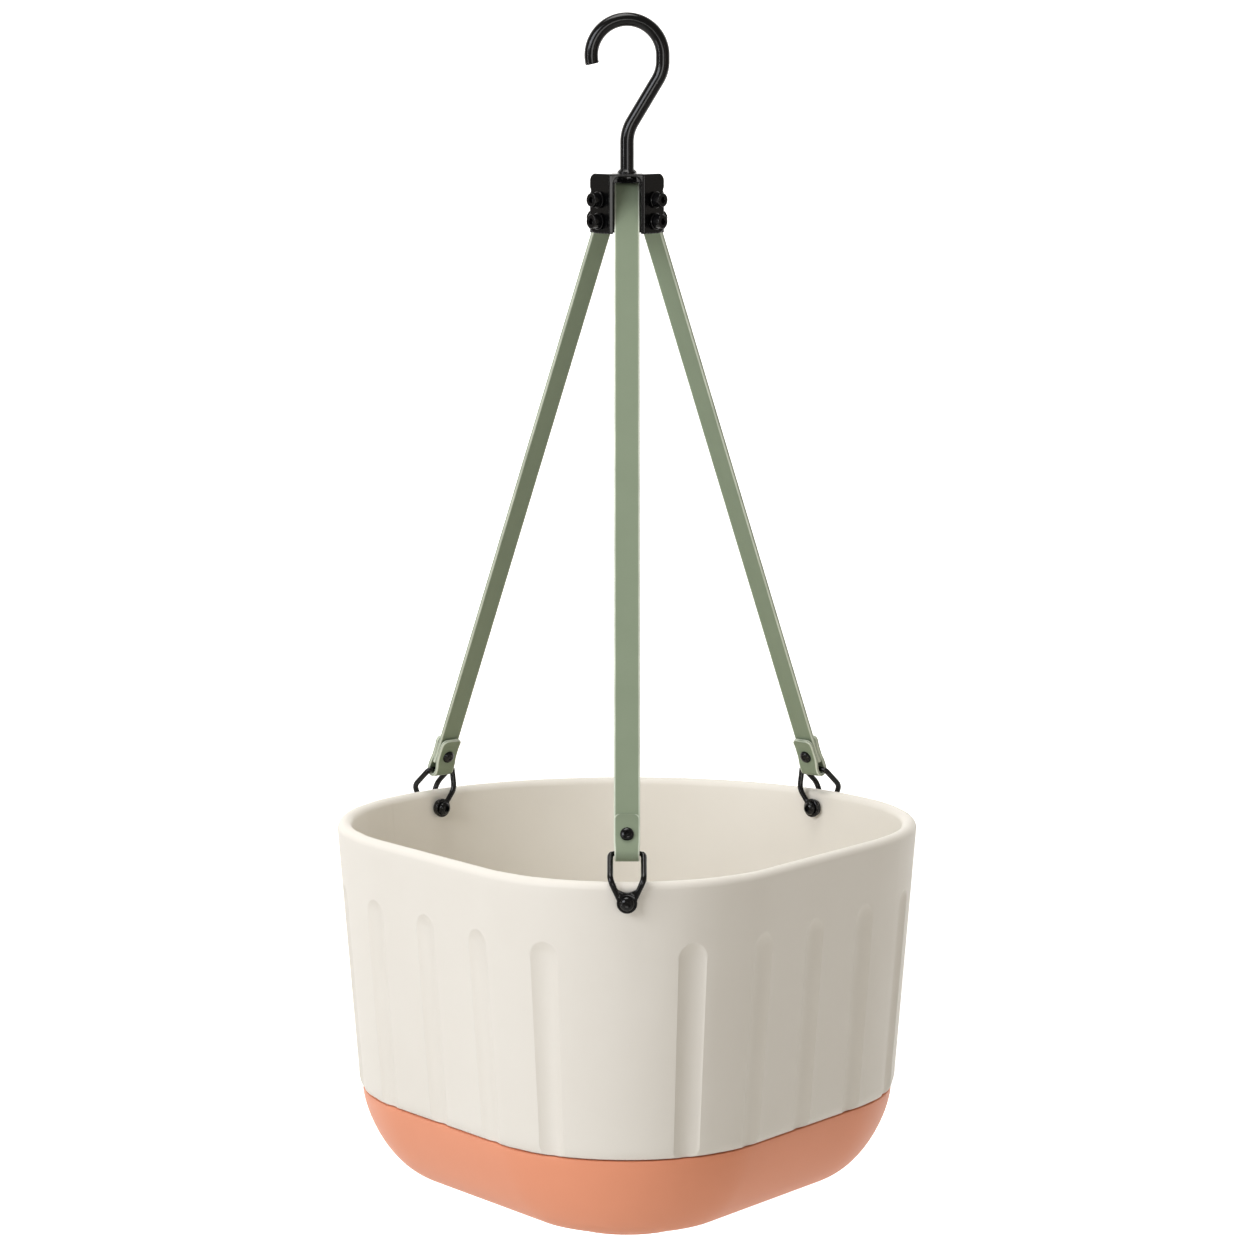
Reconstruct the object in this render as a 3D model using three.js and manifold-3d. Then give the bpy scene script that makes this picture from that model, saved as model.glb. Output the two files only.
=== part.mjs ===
// Hanging basket: a moulded planter with a clip-on drip tray, carried on three flat straps
// that meet in a bracket under a swivelling hook. Millimetres, +Z up.
// The origin is the hang point, on the inside of the hook's bend, on the swivel axis.
// The basket's front is towards -Y.

import * as THREE from 'three';
import { mergeVertices } from 'three/addons/utils/BufferGeometryUtils.js';
import Module from 'manifold-3d';

const wasm = await Module();
wasm.setup();

// ---------------------------------------------------------------- driving dimensions
const GAP = 0.3;                      // between pieces that touch

const ROD_R = 3.3;                    // hook rod
const HOOK_BEND_R = 18;               // centreline radius of the hook's bend
const HOOK_TIP_DEG = 193;             // where the bend starts, from +X
const HOOK_SET_DEG = 31;              // how far the rod leans back to the axis
const HOOK_DROP = 3;                  // straight length beside the bend
const SHANK_BEND_R = 20;              // bend that brings the rod upright again

const RIM_Z = -407.3;                 // top of the planter's rim
const RIM_R = 3.8;                    // full-round rim, so the wall is 7.6 thick there
const DRAFT = 0.08;                   // how fast the wall tapers, per mm of height
const SHELL_H = 139;                  // rim to the shell's lower edge
const EDGE_H = 8;                     // height over which the lower edge rounds in
const FLOOR_DEPTH = 125;              // rim to the planter's floor
const FLOOR_T = 3.5;
const BASE_DEPTH = 188;               // rim to the tray's foot

// Plan outline at the rim: a round nose, two flats, two side arcs and a round back.
const NOSE_R = 88.2;
const FLAT_DEG = 54.6;                // the flats' normal, from -Y
const FLAT_L = 97.4;
const SIDE_R = 117;
const BACK_R = 156.2;                 // centred on the swivel axis
const NOSE_Y = -162.9;

const FLUTES_PER_SIDE = 10;
const FLUTE_W = 15.5;
const FLUTE_DEPTH = 2.2;
const FLUTE_TOP = 31;                 // below the rim

const BRACKET_TOP = -73.6;
const BRACKET_H = 30.1;
const SHEET_T = 1.5;
const EAR_DEG = 48;                   // the ears' normals, from -Y
const EAR_W = 15.7;
const ARCH_W = 13.8;                  // inside the bracket's channel
const ARCH_Y = -13;                   // the bracket's front
const ARCH_R = 3.5;                   // inside corners of the channel
const ARCH_OUTER_R = 1.2;
const JAMB_L = 10;                    // front to back, below the channel's top sheet
const TOP_BACK_Y = 8.5;               // where the top sheet ends
const EAR_R = 4;
const SCREW_DROPS = [13.1, 23.9];     // bracket top to the ear screws

const NECK_R = 2.8;                   // hook's neck, which turns in the bracket
const NECK_BORE_R = 3.15;
const BUSH_R = 5;                     // flange of the bush that lines the bracket's hole
const BUSH_BODY_R = 4.3;
const BUSH_H = 1.9;
const HOOK_WASHER_R = 5.8;
const HOOK_WASHER_T = 0.6;
const HOOK_NUT_R = 5.7;
const HOOK_NUT_H = 1.7;

const STRAP_W = 12.7;
const STRAP_T = 1.8;
const BACK_DEG = 43;                  // the back straps' heading, from +Y
const STRAP_TOP_R = [12, 18.5, 18.5]; // each strap's distance from the axis at the bracket
const STRAP_TOP_Z = -102;

const BOLT_DROP = 9.2;                // rim to the wall bolts
const BAR_RISE = 21.65;               // wall bolt to the shackle's bar
const BAR_IN = [12.2, 9, 9];          // each bar stands this far inside the wall's outer face
const WIRE_R = 1.35;
const LEG_X = 8.1;
const LOOP_BORE_R = 1.95;             // leaves the bar room to tilt
const TAB_L = 18.65;                  // bar to the tabs' tops
const TAB_BEND = [7.2, 2.2];          // between these heights the tabs spread round the bar
const TAB_R = 2.6;
const RIVET_UP = 8.65;                // bar to the rivet
const RIVET_R = 1.7;
const STRAP_LOW = 4.5;                // bar to the strap's lower end
const HOLE_PLAY = 0.3;                // round rivets and screws

const PIN_R = 1.5;                    // cross pin that the front strap wraps round
const PIN_UP = 23.2;                  // strap's mouth to the pin, along the strap
const PIN_L = 18.6;
const TAIL_L = 11;
const BACK_STRAP_UP = 21;             // a back strap's end above its mouth
const CLAMP_UP = [4, 15];             // screws that hold a back strap, above its mouth
const REAR_SCREW_X = 2.5;             // set towards the outside
const REAR_PLATE_T = 2;
const REAR_PLATE_UP = 9.5;            // the plate's middle

const M4_R = 2;
const M4_HEAD_R = 3.5;
const M4_HEAD_H = 4;
const M4_SOCKET_R = 1.75;
const WASHER_R = 4.2;
const WASHER_T = 0.8;
const EAR_SCREW_L = 5.4;
const REAR_SCREW_L = 8;

// ---------------------------------------------------------------- materials
const finish = (color, roughness, metalness) =>
  new THREE.MeshStandardMaterial({ color, roughness, metalness });
const blackSteel = finish(0x1b1b1c, 0.42, 0.6);
const ivoryPlastic = finish(0xe6e1d6, 0.6, 0);
const coralPlastic = finish(0xe39a78, 0.6, 0);
const sageStrap = finish(0x87947b, 0.62, 0);
const blackNylon = finish(0x222222, 0.7, 0);

const rad = THREE.MathUtils.degToRad;
const group = new THREE.Group();

// ---------------------------------------------------------------- solids
// A closed geometry becomes a solid that can be joined and cut.
function solid(geometry, matrix) {
  const bare = geometry.clone();
  bare.deleteAttribute('normal');
  bare.deleteAttribute('uv');
  if (matrix) bare.applyMatrix4(matrix);
  const merged = mergeVertices(bare, 1e-4);
  return new wasm.Manifold(new wasm.Mesh({
    numProp: 3,
    vertProperties: merged.attributes.position.array,
    triVerts: Uint32Array.from(merged.index.array),
  }));
}

function add(parent, name, shape, material) {
  let geometry = shape;
  if (!shape.isBufferGeometry) {
    const mesh = shape.getMesh();
    geometry = new THREE.BufferGeometry();
    geometry.setAttribute('position', new THREE.BufferAttribute(mesh.vertProperties, 3));
    geometry.setIndex(new THREE.BufferAttribute(mesh.triVerts, 1));
  }
  const piece = new THREE.Mesh(geometry, material);
  piece.name = name;
  parent.add(piece);
  return piece;
}

const move = (x, y, z) => new THREE.Matrix4().makeTranslation(x, y, z);
const turn = (x, y, z) => new THREE.Matrix4().makeRotationFromEuler(new THREE.Euler(x, y, z));
const upright = turn(Math.PI / 2, 0, 0);
const columns = (matrix) => matrix.toArray();
const joinAll = (solids) => solids.reduce((whole, next) => whole.add(next));

function extrude(shape, depth, curveSegments = 12) {
  return new THREE.ExtrudeGeometry(shape, { depth, bevelEnabled: false, curveSegments });
}

// A prism of the given outline, standing on Z from low to high.
function prism(points, low, high) {
  const shape = new THREE.Shape(points.map(([x, y]) => new THREE.Vector2(x, y)));
  return solid(extrude(shape, high - low), move(0, 0, low));
}

// A turned piece on the Y axis: the profile lists [radius, distance towards -Y].
function turned(profile, segments = 14) {
  const points = profile.map(([r, out]) => new THREE.Vector2(r, out));
  return solid(new THREE.LatheGeometry(points, segments), turn(Math.PI, 0, 0));
}

const rod = (r, from, to, segments = 14) =>
  turned([[0, from], [r, from], [r, to], [0, to]], segments);

function circle(r, sides) {
  return new THREE.Shape(Array.from({ length: sides }, (_, i) =>
    new THREE.Vector2(r * Math.cos(2 * Math.PI * i / sides), r * Math.sin(2 * Math.PI * i / sides))));
}

// A path through corner points, each corner rounded over the given length.
function roundedPath(corners, round) {
  const path = new THREE.CurvePath();
  let from = corners[0];
  for (let i = 1; i < corners.length - 1; i += 1) {
    const toCorner = corners[i].clone().sub(from).setLength(round);
    const start = corners[i].clone().sub(toCorner);
    const end = corners[i].clone().add(corners[i + 1].clone().sub(corners[i]).setLength(round));
    path.add(new THREE.LineCurve3(from, start));
    path.add(new THREE.QuadraticBezierCurve3(start, corners[i], end));
    from = end;
  }
  path.add(new THREE.LineCurve3(from, corners[corners.length - 1]));
  return path;
}

function tube(path, r, steps, sides = 12) {
  return new THREE.ExtrudeGeometry(circle(r, sides), { steps, extrudePath: path, bevelEnabled: false });
}

// ---------------------------------------------------------------- hook
// Bend, lean and shank lie in the XZ plane; arcs are [centre x, centre z, radius, from, to].
function arcPoints(cx, cz, r, fromDeg, toDeg, count) {
  return Array.from({ length: count + 1 }, (_, i) => {
    const a = rad(fromDeg + (toDeg - fromDeg) * i / count);
    return new THREE.Vector3(cx + r * Math.cos(a), 0, cz + r * Math.sin(a));
  });
}

const bendZ = ROD_R - HOOK_BEND_R;
const leanX = HOOK_BEND_R * Math.cos(rad(HOOK_SET_DEG));
const leanZ = bendZ - HOOK_DROP - HOOK_BEND_R * Math.sin(rad(HOOK_SET_DEG));
const shankBendX = SHANK_BEND_R * (1 - Math.cos(rad(HOOK_SET_DEG)));
const shankZ = leanZ - (leanX - shankBendX) / Math.tan(rad(HOOK_SET_DEG))
  - SHANK_BEND_R * Math.sin(rad(HOOK_SET_DEG));

const plateLow = BRACKET_TOP - SHEET_T;
const nutTopZ = plateLow - 2 * GAP - HOOK_WASHER_T;
const neckEndZ = nutTopZ - HOOK_NUT_H;

const hookPoints = [
  ...arcPoints(0, bendZ, HOOK_BEND_R, HOOK_TIP_DEG, 0, 20),
  ...arcPoints(0, bendZ - HOOK_DROP, HOOK_BEND_R, 0, -HOOK_SET_DEG, 5),
  ...arcPoints(SHANK_BEND_R, shankZ, SHANK_BEND_R, 180 - HOOK_SET_DEG, 180, 5),
  new THREE.Vector3(0, 0, shankZ - 6),
];

class Polyline extends THREE.Curve {
  constructor(points) { super(); this.points = points; }
  getPoint(t) {
    const at = t * (this.points.length - 1);
    const i = Math.min(Math.floor(at), this.points.length - 2);
    return this.points[i].clone().lerp(this.points[i + 1], at - i);
  }
  getSpacedPoints() { return this.points; }
  getPointAt(t) { return this.getPoint(t); }
}

const hookPath = new Polyline(hookPoints);
const hookRod = solid(tube(hookPath, ROD_R, hookPoints.length - 1, 10));
const shank = solid(new THREE.LatheGeometry([
  [0, shankZ - 1], [ROD_R, shankZ - 1], [ROD_R, BRACKET_TOP - 0.5], [NECK_R, BRACKET_TOP - 1],
  [NECK_R, neckEndZ], [0, neckEndZ],
].reverse().map(([r, z]) => new THREE.Vector2(r, z)), 18), upright);
add(group, 'hook', hookRod.add(shank), blackSteel);

const ring = (inner, outer, low, high, segments = 20) => solid(new THREE.LatheGeometry(
  [[inner, low], [outer, low], [outer, high], [inner, high], [inner, low]]
    .map(([r, z]) => new THREE.Vector2(r, z)), segments), upright);

// The flanged bush lines the bracket's hole; washer and nut hold the hook from below.
const bush = ring(ROD_R + GAP, BUSH_R, BRACKET_TOP + GAP, BRACKET_TOP + BUSH_H)
  .add(ring(ROD_R + GAP, BUSH_BODY_R, plateLow, BRACKET_TOP + 1));
add(group, 'hook_bush', bush, blackNylon);
const hookWasher = ring(NECK_BORE_R, HOOK_WASHER_R, plateLow - GAP - HOOK_WASHER_T, plateLow - GAP);
add(group, 'hook_washer', hookWasher, blackSteel);
const nutBlank = new THREE.CylinderGeometry(HOOK_NUT_R, HOOK_NUT_R, HOOK_NUT_H, 6);
const nutBore = new THREE.CylinderGeometry(NECK_BORE_R, NECK_BORE_R, HOOK_NUT_H + 2, 20);
const nutPlace = move(0, 0, nutTopZ - HOOK_NUT_H / 2).multiply(upright);
add(group, 'hook_nut', solid(nutBlank, nutPlace).subtract(solid(nutBore, nutPlace)), blackSteel);

// ---------------------------------------------------------------- clamp bracket
// One folded sheet: an upturned channel that the front strap hangs in, with an ear at each
// side swept back. The hook passes through the channel's top.
const bracketLow = BRACKET_TOP - BRACKET_H;
const jambX = ARCH_W / 2;
const channelX = jambX + SHEET_T;
const screwHeights = SCREW_DROPS.map((drop) => BRACKET_TOP - drop);
const earX = Math.sin(rad(EAR_DEG));
const earY = Math.cos(rad(EAR_DEG));

function channel(halfWidth, top, round, backY) {
  const shape = new THREE.Shape();
  shape.moveTo(-halfWidth, bracketLow);
  shape.lineTo(halfWidth, bracketLow);
  shape.lineTo(halfWidth, top - round);
  shape.absarc(halfWidth - round, top - round, round, 0, Math.PI / 2);
  shape.lineTo(round - halfWidth, top);
  shape.absarc(round - halfWidth, top - round, round, Math.PI / 2, Math.PI);
  return solid(extrude(shape, backY - ARCH_Y, 5), move(0, backY, 0).multiply(upright));
}

function ear(side) {
  const shape = new THREE.Shape();
  shape.moveTo(-1, bracketLow);
  shape.lineTo(EAR_W - EAR_R, bracketLow);
  shape.absarc(EAR_W - EAR_R, bracketLow + EAR_R, EAR_R, -Math.PI / 2, 0);
  shape.lineTo(EAR_W, BRACKET_TOP - EAR_R);
  shape.absarc(EAR_W - EAR_R, BRACKET_TOP - EAR_R, EAR_R, 0, Math.PI / 2);
  shape.lineTo(-1, BRACKET_TOP);
  const plate = solid(extrude(shape, SHEET_T, 5), upright);
  const holeR = M4_R + HOLE_PLAY + 0.1;
  const holes = screwHeights.map((z) => solid(new THREE.CylinderGeometry(holeR, holeR, 6, 16),
    move(EAR_W / 2, 0, z)));
  const drilled = plate.subtract(joinAll(holes));
  const placed = drilled.transform(columns(move(channelX, ARCH_Y + SHEET_T, 0)
    .multiply(turn(0, 0, rad(EAR_DEG)))));
  return side > 0 ? placed : placed.mirror([1, 0, 0]);
}

const jambBack = ARCH_Y + JAMB_L;
const outerChannel = channel(channelX, BRACKET_TOP, ARCH_OUTER_R, TOP_BACK_Y);
const innerChannel = channel(jambX, plateLow, ARCH_R, TOP_BACK_Y + 0.5);
const behindJambs = solid(new THREE.BoxGeometry(40, 20, BRACKET_H),
  move(0, jambBack + 10, plateLow - BRACKET_H / 2));
const hookHoleR = BUSH_BODY_R + GAP;
const hookHole = solid(new THREE.CylinderGeometry(hookHoleR, hookHoleR, 10, 20),
  move(0, 0, BRACKET_TOP).multiply(upright));
const pinHole = (r) => solid(new THREE.CylinderGeometry(r, r, 60, 14),
  move(0, pinY, pinZ).multiply(turn(0, 0, Math.PI / 2)));

// ---------------------------------------------------------------- straps' lie
// Each station is a frame turned about Z, in which its strap hangs towards -Y.
const wallFront = -NOSE_Y - (BOLT_DROP - RIM_R) * DRAFT;
const wallBack = BACK_R - (BOLT_DROP - RIM_R) * DRAFT;
const boltZ = RIM_Z - BOLT_DROP;
const barZ = boltZ + BAR_RISE;
const stations = [
  { name: 'front', turnDeg: 0, wall: wallFront, legSide: 1 },
  { name: 'left', turnDeg: 180 + BACK_DEG, wall: wallBack, legSide: -1 },
  { name: 'right', turnDeg: 180 - BACK_DEG, wall: wallBack, legSide: 1 },
];
for (const [index, station] of stations.entries()) {
  station.barIn = BAR_IN[index];
  station.topR = STRAP_TOP_R[index];
  station.barY = -(station.wall - station.barIn);
  station.lean = Math.atan2(-station.topR - station.barY, STRAP_TOP_Z - barZ);
  // From the strap's own frame (Z up along it, Y across its thickness, bar at the origin).
  station.alongStrap = move(0, station.barY, barZ).multiply(turn(-station.lean, 0, 0));
  station.length = Math.hypot(-station.topR - station.barY, STRAP_TOP_Z - barZ);
  station.spin = turn(0, 0, rad(station.turnDeg));
}

// The front strap's pin sits behind the strap, one wrap radius off its centreline.
const wrapR = PIN_R + 0.4 + STRAP_T / 2;
const pinUp = stations[0].length + PIN_UP;
const pinPlace = new THREE.Vector3(0, wrapR, pinUp).applyMatrix4(stations[0].alongStrap);
const pinY = pinPlace.y;
const pinZ = pinPlace.z;

const hood = outerChannel.subtract(innerChannel).subtract(behindJambs).subtract(hookHole);
const bracket = joinAll([hood, ear(1), ear(-1)]).subtract(innerChannel).subtract(pinHole(PIN_R + GAP));
add(group, 'clamp_bracket', bracket, blackSteel);

// A ribbon of strap: its centreline is offset to both sides and the outline is extruded.
function ribbon(centreline, thickness, width) {
  const half = thickness / 2;
  const side = (sign) => centreline.map((point, i) => {
    const before = centreline[Math.max(i - 1, 0)];
    const after = centreline[Math.min(i + 1, centreline.length - 1)];
    const along = after.clone().sub(before).normalize();
    return new THREE.Vector2(point.x - along.y * half * sign, point.y + along.x * half * sign);
  });
  const shape = new THREE.Shape([...side(1), ...side(-1).reverse()]);
  // The outline's x is the strap's thickness (+Y) and its y runs up the strap (+Z).
  return solid(extrude(shape, width), new THREE.Matrix4()
    .makeBasis(new THREE.Vector3(0, 1, 0), new THREE.Vector3(0, 0, 1), new THREE.Vector3(1, 0, 0))
    .premultiply(move(-width / 2, 0, 0)));
}

const arc2 = (cx, cy, r, fromDeg, toDeg, count) => arcPoints(cx, cy, r, fromDeg, toDeg, count)
  .map((p) => new THREE.Vector2(p.x, p.z));

// A hole through a strap or loop, for a rivet or screw.
const strapHole = (r, x, up) => rod(r + HOLE_PLAY, -9, 9, 16).transform(columns(move(x, 0, up)));

function strapSolid(index) {
  const { length, legSide } = stations[index];
  const low = new THREE.Vector2(0, STRAP_LOW);
  let centreline = [low, new THREE.Vector2(0, length + BACK_STRAP_UP)];
  if (index === 0) {
    centreline = [low, ...arc2(wrapR, pinUp, wrapR, 180, 0, 10),
      new THREE.Vector2(2 * wrapR, pinUp - TAIL_L)];
  }
  let strap = ribbon(centreline, STRAP_T, STRAP_W).subtract(strapHole(RIVET_R, 0, RIVET_UP));
  if (index > 0) {
    for (const up of CLAMP_UP) {
      strap = strap.subtract(strapHole(M4_R, -REAR_SCREW_X * legSide, length + up));
    }
  }
  return strap;
}

// ---------------------------------------------------------------- strap block
// A wedge behind the ears. Its sloping rear faces carry the back straps, and its slot takes
// the front strap.
const blockTop = neckEndZ - 0.4;
const blockLow = bracketLow + GAP;
const earRoot = [channelX, ARCH_Y + SHEET_T];
const earEnd = [channelX + earY * EAR_W, ARCH_Y + SHEET_T + earX * EAR_W];
const inward = ([x, y]) => [x - earX * GAP, y + earY * GAP];
const blockX = channelX + GAP;
const frontOfBlock = inward(earRoot);
const sideOfBlock = inward(earEnd);
const plan = [
  [blockX, frontOfBlock[1] + (blockX - frontOfBlock[0]) * earX / earY],
  sideOfBlock, [sideOfBlock[0], 30], [-sideOfBlock[0], 30], [-sideOfBlock[0], sideOfBlock[1]],
  [-blockX, frontOfBlock[1] + (blockX - frontOfBlock[0]) * earX / earY],
];
let block = prism(plan, blockLow, blockTop);
const frontSlot = solid(new THREE.BoxGeometry(STRAP_W + 2 * GAP, 40, 80),
  stations[0].alongStrap.clone().multiply(move(0, 2 * wrapR + STRAP_T / 2 + 0.4 - 20, pinUp)));
const jambSlot = solid(new THREE.BoxGeometry(2 * blockX, 40, 60), move(0, jambBack + GAP - 20, blockTop));
block = block.subtract(frontSlot).subtract(jambSlot).subtract(pinHole(PIN_R + GAP)
  .subtract(solid(new THREE.BoxGeometry(60, 60, 60), move(39.8, 0, pinZ)))
  .subtract(solid(new THREE.BoxGeometry(60, 60, 60), move(-39.8, 0, pinZ))));

// ---------------------------------------------------------------- screws
// Socket head cap screw along Y: its head's seat is at 0, the head stands towards -Y.
function capScrew({ headR, headH, shankR, shankL, socketR }) {
  const body = turned([[0, -shankL], [shankR, -shankL], [shankR, -0.2], [headR, 0], [headR, headH - 0.5],
    [headR - 0.5, headH], [0, headH]], 12);
  const socket = turned([[0, headH * 0.45], [socketR, headH * 0.45], [socketR, headH + 1],
    [0, headH + 1]], 6);
  return body.subtract(socket);
}
const m4Screw = (shankL) => capScrew({
  headR: M4_HEAD_R, headH: M4_HEAD_H, shankR: M4_R, shankL, socketR: M4_SOCKET_R });
const washerSolid = (inner, outer, from, to) => rod(outer, from, to).subtract(rod(inner, from - 1, to + 1));

let count = 0;
for (const side of [-1, 1]) {
  for (const z of screwHeights) {
    count += 1;
    const mid = [side * (channelX + earY * EAR_W / 2), ARCH_Y + SHEET_T + earX * EAR_W / 2];
    const place = move(mid[0], mid[1], z).multiply(turn(0, 0, side * rad(EAR_DEG)));
    const seat = SHEET_T + GAP;
    const washer = washerSolid(M4_R + HOLE_PLAY, WASHER_R, seat, seat + WASHER_T)
      .transform(columns(place));
    const screw = m4Screw(EAR_SCREW_L).transform(columns(place.clone()
      .multiply(move(0, -seat - WASHER_T - GAP, 0))));
    add(group, `bracket_washer_${count}`, washer, blackSteel);
    add(group, `bracket_screw_${count}`, screw, blackSteel);
    block = block.subtract(rod(M4_R + HOLE_PLAY, -3.2, 3).transform(columns(place)));
  }
}

// ---------------------------------------------------------------- loops, shackles, wall bolts
function loopSolid() {
  const bottomR = LOOP_BORE_R + STRAP_T / 2;
  const tabY = STRAP_T + GAP;
  const half = [new THREE.Vector2(-tabY, TAB_L), new THREE.Vector2(-tabY, TAB_BEND[0]),
    new THREE.Vector2(-bottomR, TAB_BEND[1])];
  const centreline = [...half, ...arc2(0, 0, bottomR, 180, 360, 12),
    ...half.map((p) => new THREE.Vector2(-p.x, p.y)).reverse()];
  const outline = new THREE.Shape();
  const w = STRAP_W / 2;
  outline.moveTo(-w, -8);
  outline.lineTo(w, -8);
  outline.lineTo(w, TAB_L - TAB_R);
  outline.absarc(w - TAB_R, TAB_L - TAB_R, TAB_R, 0, Math.PI / 2);
  outline.lineTo(TAB_R - w, TAB_L);
  outline.absarc(TAB_R - w, TAB_L - TAB_R, TAB_R, Math.PI / 2, Math.PI);
  const face = solid(extrude(outline, 20, 4), move(0, 10, 0).multiply(upright));
  return ribbon(centreline, STRAP_T, STRAP_W).intersect(face)
    .subtract(strapHole(RIVET_R, 0, RIVET_UP));
}

function rivetSolid() {
  const seat = 1.5 * STRAP_T + 2 * GAP;
  const dome = [[3.35, 0], [3.3, 0.6], [2.6, 1.5], [1.4, 2], [0, 2.1]];
  return turned([...dome.map(([r, out]) => [r, -seat - out]).reverse(), [RIVET_R, -seat], [RIVET_R, seat],
    ...dome.map(([r, out]) => [r, seat + out])], 12);
}

const BOLT_BORE_R = 2.4;              // round the wall screw
const SLEEVE_R = 2.9;                 // the nut's sleeve, through the wall
const SLEEVE_BORE_R = SLEEVE_R + GAP;
const BUTTON = { headR: 3.55, headH: 2.4, shankR: 2, shankL: 13, socketR: 1.35 };
// Distances out from the wall's outer face at the bolt, towards -Y in the station's frame.
const OUTER_WASHER = [0.75, 1.35];
const INNER_WASHER = [-8.7, -8.1];
const BUTTON_SEAT = 4.65;
const NUT_SEAT = -11.7;
const OUTER_EYE = [1.65, 4.35];
const INNER_EYE = [-11.4, -9.0];
const EYE_R = 5;
const KNEE_UP = 11.6;                 // bolt to the bend in each leg
const KNEE_R = 1.5;
const middle = ([from, to]) => (from + to) / 2;

// The yoke's legs run in to the outer eye's rim; the inner leg crosses to the inner eye.
function shackleSolid(side, barIn) {
  const at = (x, out, up) => new THREE.Vector3(x, -out, up);
  const outerOut = middle(OUTER_EYE);
  const yoke = roundedPath([
    at(-3.3, outerOut, 0.8), at(-LEG_X, outerOut, KNEE_UP), at(-LEG_X, -barIn, BAR_RISE),
    at(LEG_X, -barIn, BAR_RISE), at(LEG_X, outerOut, KNEE_UP), at(3.3, outerOut, 0.8),
  ], KNEE_R);
  const innerLeg = roundedPath([
    at(side * LEG_X, -barIn, BAR_RISE - 0.9), at(side * LEG_X, middle(INNER_EYE) - 0.6, KNEE_UP),
    at(side * 2.2, middle(INNER_EYE), 1.5),
  ], KNEE_R);
  const pieces = [
    solid(tube(yoke, WIRE_R, 44, 8)), solid(tube(innerLeg, WIRE_R, 12, 8)),
    rod(EYE_R, ...OUTER_EYE, 16), rod(EYE_R, ...INNER_EYE, 16),
  ];
  return joinAll(pieces).subtract(rod(BOLT_BORE_R, -2, 8, 12))
    .subtract(rod(SLEEVE_BORE_R, -14, -5, 12));
}

for (const [index, station] of stations.entries()) {
  const { name } = station;
  const frame = new THREE.Group();
  frame.rotation.z = rad(station.turnDeg);
  group.add(frame);

  const alongStrap = columns(station.alongStrap);
  add(frame, `strap_${name}`, strapSolid(index).transform(alongStrap), sageStrap);
  add(frame, `strap_loop_${name}`, loopSolid().transform(alongStrap), sageStrap);
  const rivetPlace = station.alongStrap.clone().multiply(move(0, 0, RIVET_UP));
  add(frame, `strap_rivet_${name}`, rivetSolid().transform(columns(rivetPlace)), blackSteel);

  const bolt = columns(move(0, -station.wall, boltZ));
  const shackle = shackleSolid(station.legSide, station.barIn);
  add(frame, `shackle_${name}`, shackle.transform(bolt), blackSteel);
  const outerWasher = washerSolid(BOLT_BORE_R, WASHER_R, ...OUTER_WASHER);
  add(frame, `outer_washer_${name}`, outerWasher.transform(bolt), blackNylon);
  const innerWasher = washerSolid(SLEEVE_BORE_R, 4.5, ...INNER_WASHER);
  add(frame, `inner_washer_${name}`, innerWasher.transform(bolt), blackNylon);
  const wallScrew = capScrew(BUTTON).transform(columns(move(0, -BUTTON_SEAT, 0)));
  add(frame, `wall_screw_${name}`, wallScrew.transform(bolt), blackSteel);
  const wallNut = turned([[0, NUT_SEAT - 2.3], [3, NUT_SEAT - 2.3], [3.8, NUT_SEAT - 1.6],
    [3.8, NUT_SEAT], [SLEEVE_R, NUT_SEAT], [SLEEVE_R, -1], [0, -1]]).subtract(rod(2.3, -11, 0));
  add(frame, `wall_nut_${name}`, wallNut.transform(bolt), blackSteel);

  if (index === 0) continue;
  // Rear clamp plate and its two screws, in the strap's own frame.
  const mouth = station.length;
  const outside = -REAR_SCREW_X * station.legSide;
  const faceOut = STRAP_T / 2 + GAP;
  let plate = solid(new THREE.BoxGeometry(STRAP_W, REAR_PLATE_T, 2 * REAR_PLATE_UP + 2),
    move(0, -faceOut - REAR_PLATE_T / 2, mouth + REAR_PLATE_UP));
  for (const [order, up] of CLAMP_UP.entries()) {
    const place = station.alongStrap.clone().multiply(move(outside, 0, mouth + up));
    plate = plate.subtract(strapHole(M4_R, outside, mouth + up));
    const seat = station.alongStrap.clone()
      .multiply(move(outside, -faceOut - REAR_PLATE_T - GAP, mouth + up));
    const number = (index - 1) * 2 + order + 1;
    add(frame, `rear_screw_${number}`, m4Screw(REAR_SCREW_L).transform(columns(seat)), blackSteel);
    const bore = rod(M4_R + HOLE_PLAY, -6.4, 3)
      .transform(columns(station.spin.clone().multiply(place)));
    block = block.subtract(bore);
  }
  add(frame, `rear_plate_${name}`, plate.transform(alongStrap), blackSteel);
  // The block is cut back to the strap's inner face.
  const room = solid(new THREE.BoxGeometry(90, 60, 90),
    station.spin.clone().multiply(station.alongStrap)
      .multiply(move(0, -30 + STRAP_T / 2 + GAP, mouth + 10)));
  block = block.subtract(room);
}
add(group, 'strap_block', block, blackNylon);
add(group, 'strap_pin', new THREE.CylinderGeometry(PIN_R, PIN_R, PIN_L, 14)
  .applyMatrix4(move(0, pinY, pinZ).multiply(turn(0, 0, Math.PI / 2))), blackSteel);

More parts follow.
